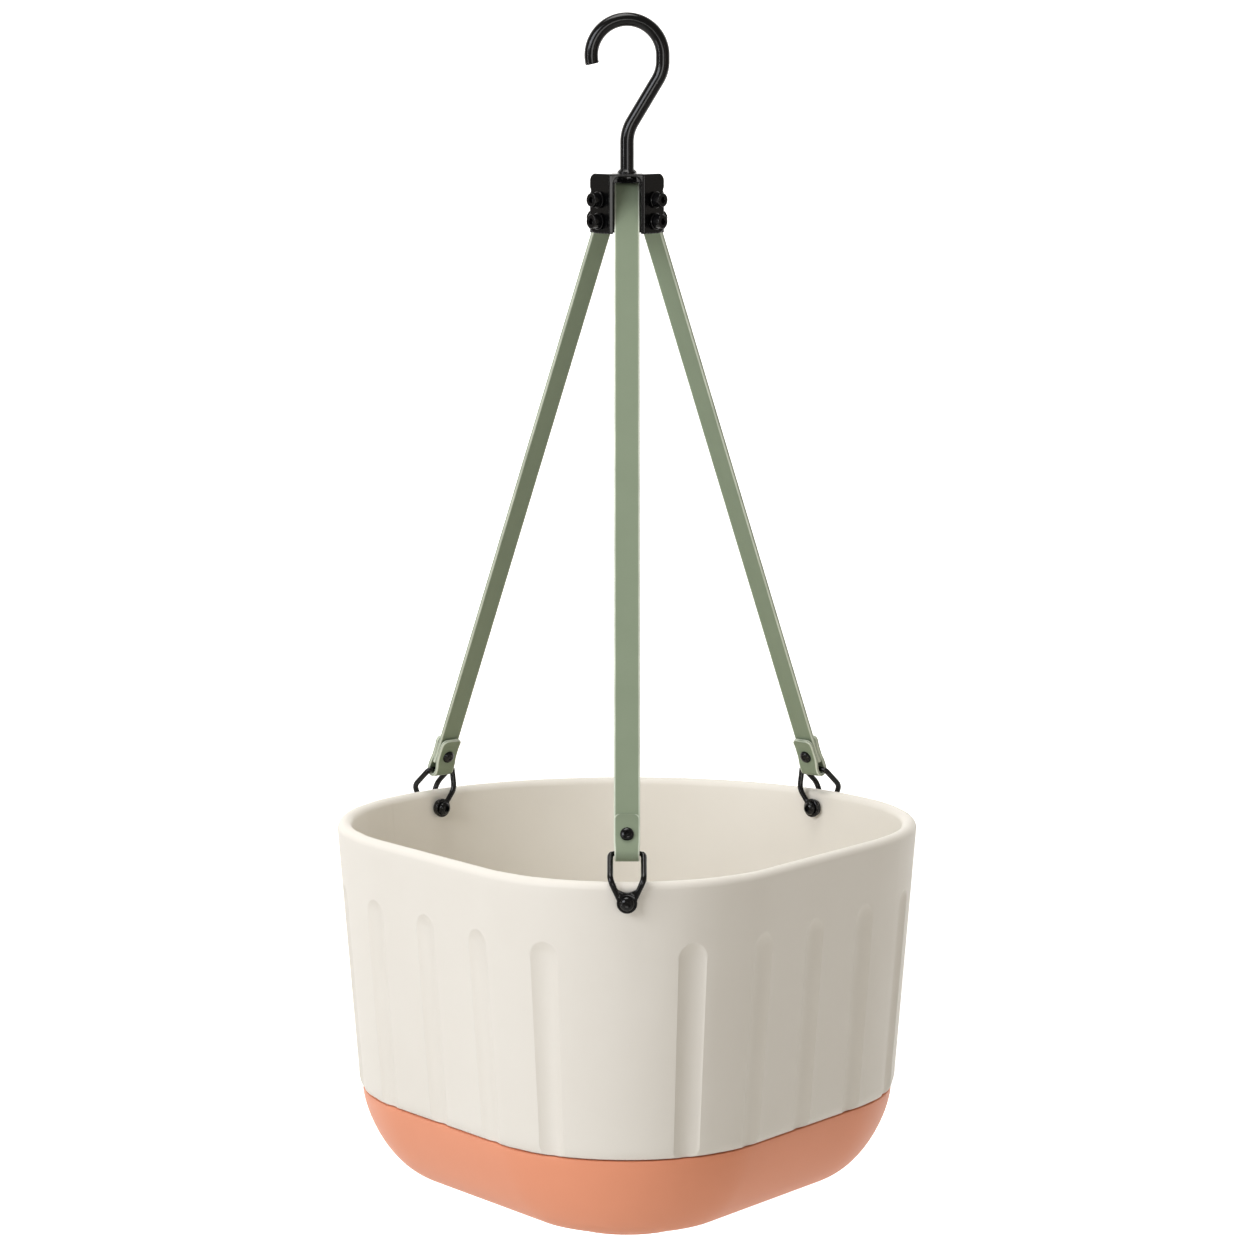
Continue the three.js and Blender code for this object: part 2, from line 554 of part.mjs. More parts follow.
// ---------------------------------------------------------------- planter outline
// The outline's arcs, from the front round the left side to the back; the right side
// mirrors it. An inset outline keeps the arcs' centres and shortens their radii.
const noseCentre = new THREE.Vector2(0, NOSE_Y + NOSE_R);
const flatNormal = new THREE.Vector2(-Math.sin(rad(FLAT_DEG)), -Math.cos(rad(FLAT_DEG)));
const flatAlong = new THREE.Vector2(flatNormal.y, -flatNormal.x);
const sideCentre = noseCentre.clone().addScaledVector(flatNormal, NOSE_R - SIDE_R)
  .addScaledVector(flatAlong, FLAT_L);
const backDeg = THREE.MathUtils.radToDeg(Math.atan2(-sideCentre.x, -sideCentre.y));

// Points and outward normals round the whole outline, at the rim.
function outlinePoints() {
  const half = [];
  const sweep = (centre, r, fromDeg, toDeg, segments) => {
    for (let i = 0; i <= segments; i += 1) {
      const a = rad(fromDeg + (toDeg - fromDeg) * i / segments);
      const normal = new THREE.Vector2(-Math.sin(a), -Math.cos(a));
      half.push({ normal, point: centre.clone().addScaledVector(normal, r) });
    }
  };
  sweep(noseCentre, NOSE_R, 0, FLAT_DEG, 8);
  sweep(sideCentre, SIDE_R, FLAT_DEG, backDeg, 9);
  half.pop();
  sweep(new THREE.Vector2(0, 0), BACK_R, backDeg, 180, 9);
  const mirrored = half.slice(1, -1).reverse().map(({ point, normal }) => ({
    point: new THREE.Vector2(-point.x, point.y),
    normal: new THREE.Vector2(-normal.x, normal.y),
  }));
  return [...half, ...mirrored].reverse();
}

// The outline extruded through stations of [inset, z below the rim], top station last.
const rimOutline = outlinePoints();
function loft(levels) {
  const shape = new THREE.Shape(rimOutline.map(({ point }) => point));
  const steps = levels.length - 1;
  const geometry = new THREE.ExtrudeGeometry(shape, { depth: steps, steps, bevelEnabled: false });
  const position = geometry.attributes.position;
  for (let i = 0; i < position.count; i += 1) {
    const x = position.getX(i);
    const y = position.getY(i);
    const { normal } = rimOutline.find(({ point }) => Math.hypot(point.x - x, point.y - y) < 1e-3);
    const [inset, below] = levels[Math.round(position.getZ(i))];
    position.setXYZ(i, x - normal.x * inset, y - normal.y * inset, RIM_Z - below);
  }
  return solid(geometry);
}

const draftAt = (below) => DRAFT * (below - RIM_R);
const quarter = [0, 22.5, 45, 67.5, 90].map(rad);
const rimOuter = quarter.map((a) => [RIM_R * (1 - Math.cos(a)), RIM_R * (1 - Math.sin(a))]);
const rimInner = quarter.map((a) => [RIM_R * (1 + Math.cos(a)), RIM_R * (1 - Math.sin(a))]);
const edgeStart = SHELL_H - EDGE_H;
const edgeInset = draftAt(edgeStart);
const INNER_LOW = 15.4;               // inset of the inner wall at the floor
const SKIRT_INSET = 16.2;             // inner face of the skirt below the floor
const LEDGE_INSET = 17.6;             // the ledge that the floor plate rests on
const LEDGE_T = 2.2;

// ---------------------------------------------------------------- planter shell
// An open ring: the wall, a ledge for the floor plate, and a skirt for the tray's lip.
const outerBody = loft([
  [edgeInset + 2.6, SHELL_H], [edgeInset + 1.6, SHELL_H - 0.7], [edgeInset + 0.8, SHELL_H - 2.6],
  [edgeInset + 0.25, SHELL_H - 5], [edgeInset, edgeStart], ...rimOuter,
]);
const ledgeTop = FLOOR_DEPTH + FLOOR_T + GAP;
const cavity = loft([
  [INNER_LOW, ledgeTop], [INNER_LOW, FLOOR_DEPTH - 4], ...rimInner, [RIM_R, -1],
]);
const ledgeOpening = loft([[LEDGE_INSET, SHELL_H + 1], [LEDGE_INSET, ledgeTop - 1]]);
const recess = loft([[SKIRT_INSET, SHELL_H + 1], [SKIRT_INSET, ledgeTop + LEDGE_T]]);
const fluteCut = [];
const fluteStarts = { left: [43.5, 46.9], right: [33.8, 45.6] };

// Walks along one side's outline from the front and gives the point and its normal.
function onOutline(distance, side) {
  let left = distance;
  const noseL = NOSE_R * rad(FLAT_DEG);
  const sideL = SIDE_R * rad(backDeg - FLAT_DEG);
  let centre = noseCentre;
  let r = NOSE_R;
  let a = left / NOSE_R;
  let slide = 0;
  if (left > noseL) {
    a = rad(FLAT_DEG);
    slide = Math.min(left - noseL, FLAT_L);
    left -= noseL + FLAT_L;
    if (left > 0) {
      centre = left > sideL ? new THREE.Vector2(0, 0) : sideCentre;
      r = left > sideL ? BACK_R : SIDE_R;
      a = left > sideL ? rad(backDeg) + (left - sideL) / BACK_R : rad(FLAT_DEG) + left / SIDE_R;
      slide = 0;
    }
  }
  const normal = new THREE.Vector2(-Math.sin(a), -Math.cos(a));
  const point = centre.clone().addScaledVector(normal, r).addScaledVector(flatAlong, slide);
  return side === 'left' ? { point, normal } : {
    point: new THREE.Vector2(-point.x, point.y), normal: new THREE.Vector2(-normal.x, normal.y),
  };
}

// A flute is cut with a round-ended cutter whose face leans with the wall's draft.
function fluteSolid() {
  const w = FLUTE_W / 2;
  const length = SHELL_H - FLUTE_TOP + 4;
  const shape = new THREE.Shape();
  shape.moveTo(-w, -length);
  shape.lineTo(w, -length);
  shape.lineTo(w, -w);
  shape.absarc(0, -w, w, 0, Math.PI);
  return solid(extrude(shape, 12, 6), turn(Math.PI / 2, 0, 0));
}

for (const side of ['left', 'right']) {
  const [start, pitch] = fluteStarts[side];
  for (let i = 0; i < FLUTES_PER_SIDE; i += 1) {
    const { point, normal } = onOutline(start + i * pitch, side);
    const top = point.clone().addScaledVector(normal, -draftAt(FLUTE_TOP) - FLUTE_DEPTH);
    const heading = Math.atan2(normal.x, -normal.y);
    fluteCut.push(fluteSolid().transform(columns(move(top.x, top.y, RIM_Z - FLUTE_TOP)
      .multiply(turn(0, 0, heading)).multiply(turn(Math.atan(DRAFT), 0, 0)))));
  }
}

const boltHoles = stations.map((station) => rod(SLEEVE_BORE_R, -14, 6).transform(
  columns(station.spin.clone().multiply(move(0, -station.wall, boltZ)))));
const shell = outerBody.subtract(cavity).subtract(ledgeOpening).subtract(recess)
  .subtract(joinAll([...fluteCut, ...boltHoles]));
add(group, 'planter_shell', shell, ivoryPlastic);

// ---------------------------------------------------------------- floor plate
// A flat plate with a ring of drain holes, dropped on to the shell's ledge.
const DRAINS = 8;
const DRAIN_R = 4;
const DRAIN_RING_R = 70;
const DRAIN_RING_Y = -5;
const plateInset = INNER_LOW + GAP + 0.1;
const drains = Array.from({ length: DRAINS }, (_, i) => {
  const a = 2 * Math.PI * i / DRAINS;
  return solid(new THREE.CylinderGeometry(DRAIN_R, DRAIN_R, 12, 12),
    move(DRAIN_RING_R * Math.cos(a), DRAIN_RING_Y + DRAIN_RING_R * Math.sin(a), RIM_Z - FLOOR_DEPTH)
      .multiply(upright));
});
const floorPlate = loft([[plateInset, FLOOR_DEPTH + FLOOR_T], [plateInset, FLOOR_DEPTH]]);
add(group, 'floor_plate', floorPlate.subtract(joinAll(drains)), ivoryPlastic);

// ---------------------------------------------------------------- drip tray
// An open bowl with a lip that pushes up inside the shell's skirt.
const trayTop = SHELL_H + GAP;
const trayInset = edgeInset + 2;
const TRAY_T = 3.4;
const BOWL_W = 29;                    // how far the bowl's side rounds in
const FOOT_RISE = 5;                  // slope of the bowl's bottom
const FOOT_IN = 15;
const bowlH = BASE_DEPTH - FOOT_RISE - trayTop;
const bowlAngles = [90, 70, 52, 35, 18, 0].map(rad);
const bowl = (grow) => bowlAngles.map((a) => [
  trayInset + grow + (BOWL_W - grow) * (1 - Math.cos(a) ** 1.3),
  trayTop + (bowlH - grow) * Math.sin(a) ** 1.3]);
const trayOuter = loft([[trayInset + BOWL_W + FOOT_IN, BASE_DEPTH], ...bowl(0)]);
const LIP_OUT = SKIRT_INSET + 0.45;
const LIP_T = 2.4;
const LIP_H = 8;
const lip = loft([[LIP_OUT, trayTop + 2], [LIP_OUT, trayTop - LIP_H]]);
const bowlRoom = loft([...bowl(TRAY_T), [trayInset + TRAY_T, trayTop - LIP_H - 1]]);
const lipRoom = loft([[LIP_OUT + LIP_T, BASE_DEPTH + 1], [LIP_OUT + LIP_T, trayTop - LIP_H - 2]]);
const tray = trayOuter.add(lip).subtract(bowlRoom.intersect(lipRoom));
add(group, 'drip_tray', tray, coralPlastic);

export default group;
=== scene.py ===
"""A hanging basket: fluted planter, drip tray, three straps on shackles, clamp bracket and hook.

Everything is in metres in the frame's own axes: +Z up, the basket's nose towards -Y, and the
origin at the hang point, on the swivel axis.
"""

import math

import bmesh
import bpy
import numpy as np
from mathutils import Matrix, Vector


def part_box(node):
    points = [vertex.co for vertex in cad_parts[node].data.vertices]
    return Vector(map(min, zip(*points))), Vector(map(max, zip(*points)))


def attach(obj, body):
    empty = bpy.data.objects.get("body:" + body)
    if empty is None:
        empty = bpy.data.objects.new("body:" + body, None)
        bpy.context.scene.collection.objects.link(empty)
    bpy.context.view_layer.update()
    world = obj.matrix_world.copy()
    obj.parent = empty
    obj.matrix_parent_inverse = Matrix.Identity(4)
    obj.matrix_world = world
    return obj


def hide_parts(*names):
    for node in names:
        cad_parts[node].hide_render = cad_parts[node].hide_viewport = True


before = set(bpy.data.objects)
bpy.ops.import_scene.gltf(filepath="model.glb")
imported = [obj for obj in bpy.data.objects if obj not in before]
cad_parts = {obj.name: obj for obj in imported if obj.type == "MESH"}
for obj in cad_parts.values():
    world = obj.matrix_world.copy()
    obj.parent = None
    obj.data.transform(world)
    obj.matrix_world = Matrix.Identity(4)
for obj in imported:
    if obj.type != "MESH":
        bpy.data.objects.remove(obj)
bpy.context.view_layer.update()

# --- Camera, studio and light -------------------------------------------------------------
# A long lens looks slightly down at the basket, and the sweep behind it is plain white paper.
CAMERA_PLACE = (0.0, -2.3538, 0.0031)
CAMERA_DOWN = 0.13
CAMERA_LENS = 133.3

camera_data = bpy.data.cameras.new("camera")
camera_data.lens = CAMERA_LENS
camera_data.sensor_width = 36.0
camera_data.clip_end = 50.0
camera = bpy.data.objects.new("camera", camera_data)
camera.location = CAMERA_PLACE
camera.rotation_euler = (math.pi / 2 - CAMERA_DOWN, 0, 0)
bpy.context.scene.collection.objects.link(camera)
bpy.context.scene.camera = camera
bpy.context.scene.view_settings.view_transform = "Standard"


def linear(hex_colour):
    """An sRGB hex colour as linear RGBA: each channel goes through the sRGB decoding curve."""
    channels = np.array([int(hex_colour[i:i + 2], 16) for i in (1, 3, 5)]) / 255
    low = channels / 12.92
    high = ((channels + 0.055) / 1.055) ** 2.4
    return (*np.where(channels <= 0.04045, low, high), 1.0)


def add_node(tree, kind, links=None, values=None, **settings):
    """Adds a shader node: settings are its own fields, values fill its sockets by name or
    number, and links join its sockets to (node, output) pairs."""
    made = tree.nodes.new(kind)
    for field, value in settings.items():
        setattr(made, field, value)
    for socket, value in (values or {}).items():
        made.inputs[socket].default_value = value
    for socket, (source, output) in (links or {}).items():
        tree.links.new(source.outputs[output], made.inputs[socket])
    return made


def new_material(name):
    """An empty node material with its tree and its Principled shader."""
    material = bpy.data.materials.new(name)
    material.use_nodes = True
    return material, material.node_tree, material.node_tree.nodes["Principled BSDF"]


def skin(name, points, close_columns=True, material=None, edge_highlight=None):
    """A mesh from a grid of points (rows, columns, xyz). Each cell is a quad, columns close
    into a ring, rows that shrink to a point become poles, and faces are turned outwards. The
    painted edge highlight of each point, where given, becomes an attribute that the material
    reads."""
    rows, columns = points.shape[:2]
    index = np.arange(rows * columns).reshape(rows, columns)
    across = np.roll(index, -1, axis=1) if close_columns else index[:, 1:]
    index = index if close_columns else index[:, :-1]
    quads = np.stack([index[:-1], across[:-1], across[1:], index[1:]], -1).reshape(-1, 4)
    flat = points.reshape(-1, 3)
    a, b, c, d = (flat[quads[:, k]] for k in range(4))
    volume = np.einsum("ij,ij->", a, np.cross(b, c)) + np.einsum("ij,ij->", a, np.cross(c, d))
    if volume < 0:
        quads = quads[:, ::-1]
    mesh = bpy.data.meshes.new(name)
    mesh.from_pydata(flat.tolist(), [], quads.tolist())
    if edge_highlight is not None:
        mesh.attributes.new("edge_highlight", "FLOAT", "POINT").data.foreach_set("value", edge_highlight.ravel())
    close_mesh(mesh)
    piece = bpy.data.objects.new(name, mesh)
    bpy.context.scene.collection.objects.link(piece)
    if material:
        mesh.materials.append(material)
    return piece


def close_mesh(mesh, distance=2e-7, sharp=math.radians(38)):
    """Joins points closer than the distance, shades the faces smooth, and keeps an edge sharp
    where its two faces turn by more than the given angle."""
    work = bmesh.new()
    work.from_mesh(mesh)
    bmesh.ops.remove_doubles(work, verts=work.verts, dist=distance)
    bmesh.ops.dissolve_degenerate(work, edges=work.edges, dist=1e-9)
    for face in work.faces:
        face.smooth = True
    for edge in work.edges:
        edge.smooth = edge.calc_face_angle(0) < sharp
    work.to_mesh(mesh)
    work.free()


SWEEP_FLOOR = -1.5
SWEEP_FRONT = -6
SWEEP_BACK = 2.2
SWEEP_BEND = 1.0
SWEEP_RISE = 5
SWEEP_HALF_W = 7
FLOOR_SHARE = 0.4
BEND_SHARE = 0.3
sweep_run = np.linspace(0, 1, 41)[:, None]
bend_angle = np.clip((sweep_run - FLOOR_SHARE) / BEND_SHARE, 0, 1) * math.pi / 2
floor_y = np.minimum(sweep_run / FLOOR_SHARE, 1) * (SWEEP_BACK - SWEEP_FRONT) + SWEEP_FRONT
wall_run = (sweep_run - FLOOR_SHARE - BEND_SHARE) / (1 - FLOOR_SHARE - BEND_SHARE)
wall_rise = np.clip(wall_run, 0, 1) * SWEEP_RISE
sweep_y = floor_y + SWEEP_BEND * np.sin(bend_angle)
sweep_z = SWEEP_FLOOR + SWEEP_BEND * (1 - np.cos(bend_angle)) + wall_rise
sweep_x = np.linspace(-SWEEP_HALF_W, SWEEP_HALF_W, 9)[None]
sweep_grid = np.stack(np.broadcast_arrays(sweep_x, sweep_y, sweep_z), -1)
sweep = skin("paper_sweep", sweep_grid, close_columns=False)

# Plain white paper, quite matt. It glows towards the back, so that it stays even and white.
GLOW_FROM = 0.9
GLOW_FULL = 1.8
GLOW = 0.9
paper, paper_tree, paper_shader = new_material("white_studio_paper")
paper_shader.inputs["Base Color"].default_value = linear("#e4e3e0")
paper_shader.inputs["Roughness"].default_value = 0.9
paper_shader.inputs["Emission Color"].default_value = linear("#ffffff")
paper_spot = add_node(paper_tree, "ShaderNodeTexCoord")
paper_axes = add_node(paper_tree, "ShaderNodeSeparateXYZ", {"Vector": (paper_spot, "Object")})
glow = add_node(paper_tree, "ShaderNodeMapRange", {"Value": (paper_axes, "Y")},
                {"From Min": GLOW_FROM, "From Max": GLOW_FULL, "To Min": 0.0, "To Max": GLOW})
paper_tree.links.new(glow.outputs["Result"], paper_shader.inputs["Emission Strength"])
sweep.data.materials.append(paper)

world = bpy.data.worlds.new("studio")
world.use_nodes = True
surround = world.node_tree.nodes["Background"]
surround.inputs["Color"].default_value = linear("#fdf5ea")
surround.inputs["Strength"].default_value = 0.27
bpy.context.scene.world = world


def soft_light(name, place, target, size, power, colour):
    """An area light of a width and height at a place, turned towards a target."""
    data = bpy.data.lights.new(name, "AREA")
    data.shape = "RECTANGLE"
    data.size, data.size_y = size
    data.energy = power
    data.color = linear(colour)[:3]
    lamp = bpy.data.objects.new(name, data)
    lamp.location = place
    away = np.array(place) - np.array(target)
    level = math.hypot(away[0], away[1])
    lamp.rotation_euler = (math.atan2(level, away[2]), 0, math.atan2(away[0], -away[1]))
    bpy.context.scene.collection.objects.link(lamp)


MIDDLE = (0, 0, -0.42)
UPPER = (0, 0, -0.2)
soft_light("key", (-1.6, -1.75, 0.75), MIDDLE, (1.2, 1.0), 24, "#f4f7ff")
soft_light("front", (0.45, -2.5, -0.2), MIDDLE, (1.0, 0.6), 8, "#fcfbf9")
soft_light("left_strip", (-1.75, -0.95, -0.15), UPPER, (0.08, 1.7), 9, "#fdfdff")
soft_light("right_strip", (1.5, -1.5, -0.15), UPPER, (0.06, 1.5), 1.0, "#fff4e8")
soft_light("fill", (2.2, -1.1, 0.1), MIDDLE, (1.8, 1.8), 0.6, "#ffe9d0")
soft_light("top", (-0.3, -0.2, 1.7), MIDDLE, (1.2, 1.2), 24, "#fffefc")

# --- Planter shell ------------------------------------------------------------------------
# An injection-moulded ring in ivory polypropylene, with a full-round rim and a drafted wall
# with shallow round-topped flutes. A ledge inside carries the floor plate, over a skirt.
RIM_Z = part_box("planter_shell")[1].z
NOSE_R = 0.0882
FLAT_NORMAL = math.radians(54.6)
FLAT_L = 0.0974
SIDE_R = 0.117
BACK_R = 0.1562
NOSE_Y = -0.1629
RIM_R = 0.0038
DRAFT = 0.08
SHELL_H = RIM_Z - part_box("planter_shell")[0].z
EDGE_H = 0.008
EDGE_IN = 0.0027
SKIRT_INSET = 0.0162
WALL_INSET_LOW = 0.0154
LEDGE_INSET = 0.0176
LEDGE_TOP = 0.1288
LEDGE_T = 0.0022
WALL_FOOT_H = 0.004
EASE = 0.0003
MIDDLE_Y = -0.005

FLUTE_W = 0.0155
FLUTE_DEPTH = 0.0027
FLUTE_TOP = 0.031
FLUTE_SIDE = 0.00775
LEFT_FLUTES = 0.0435 + 0.0469 * np.arange(10)
RIGHT_FLUTES = 0.0338 + 0.0456 * np.arange(10)
FLUTES = np.concatenate([LEFT_FLUTES, -RIGHT_FLUTES])
PLAIN_NOSE = np.linspace(-0.019, 0.029, 14)

nose_centre = np.array([0, NOSE_Y + NOSE_R])
flat_out = np.array([-math.sin(FLAT_NORMAL), -math.cos(FLAT_NORMAL)])
flat_along = np.array([flat_out[1], -flat_out[0]])
side_centre = nose_centre + flat_out * (NOSE_R - SIDE_R) + flat_along * FLAT_L
back_start = math.atan2(-side_centre[0], -side_centre[1])
NOSE_L = NOSE_R * FLAT_NORMAL
SIDE_L = SIDE_R * (back_start - FLAT_NORMAL)
HALF_ROUND = NOSE_L + FLAT_L + SIDE_L + BACK_R * (math.pi - back_start)


def draft_at(below):
    """The outer wall's inset at a depth below the rim: the draft times the depth past the
    rim's round."""
    return DRAFT * (below - RIM_R)


def rim_outline(along):
    """Points and outward normals of the rim's outline in plan, at signed distances along it
    from the nose, left positive: a nose arc, a flat, a side arc and the back arc in turn."""
    s = np.abs(along)
    nose = s < NOSE_L
    flat = (s >= NOSE_L) & (s < NOSE_L + FLAT_L)
    side = (s >= NOSE_L + FLAT_L) & (s < NOSE_L + FLAT_L + SIDE_L)
    past = s - NOSE_L - FLAT_L
    angle = np.select(
        [nose, flat, side],
        [s / NOSE_R, FLAT_NORMAL, FLAT_NORMAL + past / SIDE_R],
        back_start + (past - SIDE_L) / BACK_R)
    normal = np.stack([-np.sin(angle), -np.cos(angle)], -1)
    radius = np.select([nose | flat, side], [NOSE_R, SIDE_R], BACK_R)[:, None]
    past_flat = np.where(side[:, None], side_centre, 0.0)
    middle = np.where((nose | flat)[:, None], nose_centre, past_flat)
    slide = np.where(flat, s - NOSE_L, 0.0)[:, None] * flat_along
    point = middle + normal * radius + slide
    mirror = np.where(along < 0, -1.0, 1.0)[:, None] * [1, 0] + [0, 1]
    return point * mirror, normal * mirror


def flute_depth(along, below):
    """How deep the flutes cut at each distance along the rim and below it: inside a flute's
    round-topped outline the wall drops away as 1-(1-t)^2 over the side's width."""
    apart = along[None, :] - FLUTES[:, None]
    gap = np.abs((apart + HALF_ROUND) % (2 * HALF_ROUND) - HALF_ROUND)
    nearest = gap.min(0)[None, :]
    above = np.maximum(FLUTE_TOP + FLUTE_W / 2 - below, 0)[:, None]
    inside = FLUTE_W / 2 - np.hypot(nearest, above)
    t = np.clip(inside / FLUTE_SIDE, 0, 1)
    return FLUTE_DEPTH * (1 - (1 - t) ** 2)


def columns_along_rim():
    """Distances along the rim for the mesh's columns: close together across each flute, and
    wider apart between flutes and over the plain stretch at the nose."""
    outside = np.array([-1.9, -1.45, -1.08, 1.08, 1.45, 1.9])
    offsets = np.concatenate([np.linspace(-1, 1, 29), outside]) * FLUTE_W / 2
    spots = np.concatenate([(FLUTES[:, None] + offsets[None]).ravel(), PLAIN_NOSE])
    spots = np.sort((spots + HALF_ROUND) % (2 * HALF_ROUND) - HALF_ROUND)
    keep = np.concatenate([[True], np.diff(spots) > 2e-4])
    return spots[keep]


def lofted(along, levels, cut=0):
    """A grid of points from profile levels (inset, depth below the rim). The outline at an
    inset keeps its arcs' centres, so each point is the rim's point less its normal times the
    inset. A cut is measured from the drafted wall, and counts where it is the deeper."""
    point, normal = rim_outline(along)
    inset = np.maximum(levels[:, :1], np.where(cut > 0, draft_at(levels[:, 1:]) + cut, 0))
    plan = point[None] - normal[None] * inset[..., None]
    height = np.broadcast_to((RIM_Z - levels[:, 1])[:, None, None], (*plan.shape[:2], 1))
    return np.concatenate([plan, height], -1)


edge_start = SHELL_H - EDGE_H
edge_inset = draft_at(edge_start)
quarter = np.linspace(0, math.pi / 2, 9)
edge_round = np.stack([
    edge_inset + EDGE_IN * (1 - np.cos(quarter)), edge_start + EDGE_H * np.sin(quarter)], -1)[::-1]
flute_top_rows = np.arange(0.0418, 0.0295, -0.0005)
wall_depths = np.concatenate([
    np.linspace(edge_start - 0.004, 0.044, 16), flute_top_rows,
    np.linspace(0.028, RIM_R + 0.003, 6)])
outer_wall = np.stack([draft_at(wall_depths), wall_depths], -1)
half_turn = np.linspace(0, math.pi, 19)
rim_round = np.stack([RIM_R * (1 - np.cos(half_turn)), RIM_R * (1 - np.sin(half_turn))], -1)
inner_depths = np.linspace(0.008, LEDGE_TOP - WALL_FOOT_H - 0.002, 10)
inner_slope = (WALL_INSET_LOW - 2 * RIM_R) / (LEDGE_TOP - WALL_FOOT_H - RIM_R)
inner_wall = np.stack([2 * RIM_R + inner_slope * (inner_depths - RIM_R), inner_depths], -1)
ledge = np.array([
    [WALL_INSET_LOW, LEDGE_TOP - WALL_FOOT_H], [WALL_INSET_LOW, LEDGE_TOP],
    [LEDGE_INSET - EASE, LEDGE_TOP], [LEDGE_INSET, LEDGE_TOP + EASE],
    [LEDGE_INSET, LEDGE_TOP + LEDGE_T], [SKIRT_INSET, LEDGE_TOP + LEDGE_T]])
skirt = np.array([
    [SKIRT_INSET, LEDGE_TOP + LEDGE_T + EASE], [SKIRT_INSET, SHELL_H - 0.001],
    [SKIRT_INSET - EASE, SHELL_H - EASE], [SKIRT_INSET - 0.0008, SHELL_H]])

around = columns_along_rim()
outside = np.concatenate([edge_round, outer_wall])
outside_grid = lofted(around, outside, flute_depth(around, outside[:, 1]))
inside_grid = lofted(around, np.concatenate([rim_round, inner_wall, ledge, skirt]))
shell_grid = np.concatenate([outside_grid, inside_grid, outside_grid[:1]])
shell = skin("planter_shell_moulding", shell_grid)


def crease_flutes(mesh, turn=math.radians(14)):
    """Keeps the flutes' straight sides crisp: edges below their round tops stay sharp where
    their faces turn by more than the given angle."""
    work = bmesh.new()
    work.from_mesh(mesh)
    for edge in work.edges:
        top = max(vertex.co.z for vertex in edge.verts)
        if top < RIM_Z - FLUTE_TOP - FLUTE_W / 2 and edge.calc_face_angle(0) > turn:
            edge.smooth = False
    work.to_mesh(mesh)
    work.free()


crease_flutes(shell.data)


def moulded_plastic(name, dark, light, clouds, roughness):
    """Injection-moulded polypropylene. Two close tints are mixed by a noise with so many clouds
    to a metre, and a second noise, 0.7 mm to a grain, is the height of a faint bump."""
    material, tree, shader = new_material(name)
    spot = add_node(tree, "ShaderNodeTexCoord")
    cloud = add_node(tree, "ShaderNodeTexNoise", {"Vector": (spot, "Object")},
                     {"Scale": clouds, "Detail": 3.0, "Roughness": 0.5})
    tint = add_node(tree, "ShaderNodeMix", {"Factor": (cloud, "Fac")}, data_type="RGBA")
    tint.inputs["A"].default_value = linear(dark)
    tint.inputs["B"].default_value = linear(light)
    tree.links.new(tint.outputs["Result"], shader.inputs["Base Color"])
    grain = add_node(tree, "ShaderNodeTexNoise", {"Vector": (spot, "Object")},
                     {"Scale": 1400.0, "Detail": 2.0})
    relief = add_node(tree, "ShaderNodeBump", {"Height": (grain, "Fac")},
                      {"Strength": 0.12, "Distance": 0.00012})
    tree.links.new(relief.outputs["Normal"], shader.inputs["Normal"])
    shader.inputs["Roughness"].default_value = roughness
    shader.inputs["IOR"].default_value = 1.49
    return material


# Matt moulded polypropylene: a soft broad sheen, a spark-eroded grain, drawn a little coarser
# than it is so that it shows, and faint clouds 45 mm across where the melt cooled unevenly.
ivory = moulded_plastic("ivory_moulded_polypropylene", "#e8e3d9", "#ece8df", 22.0, 0.55)
shell.data.materials.append(ivory)
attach(shell, "basket")
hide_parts("planter_shell")

# --- Floor plate --------------------------------------------------------------------------
# A flat moulded plate in the same ivory plastic, dropped on to the ledge, with a ring of
# drain holes.
FLOOR_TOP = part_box("floor_plate")[1].z
FLOOR_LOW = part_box("floor_plate")[0].z
PLATE_INSET = 0.0158
PLATE_EASE = 0.0005


def filled(grid):
    """Closes a grid's first and last rows with copies of them that shrink by fixed shares to
    the middle of the planter."""
    shares = np.array([0, 0.4, 0.8, 0.95])[:, None, None]
    first, last = (np.array([0, MIDDLE_Y, row[0, 2]]) for row in (grid[0], grid[-1]))
    start = first + (grid[:1] - first) * shares
    end = last + (grid[-1:] - last) * shares[::-1]
    return np.concatenate([start, grid, end])


plate_around = np.linspace(-HALF_ROUND, HALF_ROUND, 361)[:-1]
plate_edge = lofted(plate_around, np.array([
    [PLATE_INSET + PLATE_EASE, RIM_Z - FLOOR_TOP], [PLATE_INSET, RIM_Z - FLOOR_TOP + PLATE_EASE],
    [PLATE_INSET, RIM_Z - FLOOR_LOW - PLATE_EASE], [PLATE_INSET + PLATE_EASE, RIM_Z - FLOOR_LOW]]))
floor_plate = skin("floor_plate_moulding", filled(plate_edge), material=ivory)

DRAIN_R = 0.004
DRAIN_RING = 0.070
DRAIN_PAST = 0.002
DRAINS = 8
drain_turn = np.linspace(0, 2 * math.pi, 33)[:-1]


def capped(points):
    """Closes both open ends of a grid with its end rows' middles, so that they become poles."""
    ends = [np.broadcast_to(points[k].mean(0), points[k].shape)[None] for k in (0, -1)]
    return np.concatenate([ends[0], points, ends[1]])


def drain_cutter(angle):
    """A plug through the floor: a ring of points carried up Z and closed at both ends."""
    x = DRAIN_RING * math.cos(angle) + DRAIN_R * np.cos(drain_turn)
    y = MIDDLE_Y + DRAIN_RING * math.sin(angle) + DRAIN_R * np.sin(drain_turn)
    z = np.array([FLOOR_LOW - DRAIN_PAST, FLOOR_TOP + DRAIN_PAST])[:, None]
    grid = np.stack(np.broadcast_arrays(x[None], y[None], z), -1)
    return skin("drain_cutter", capped(grid))


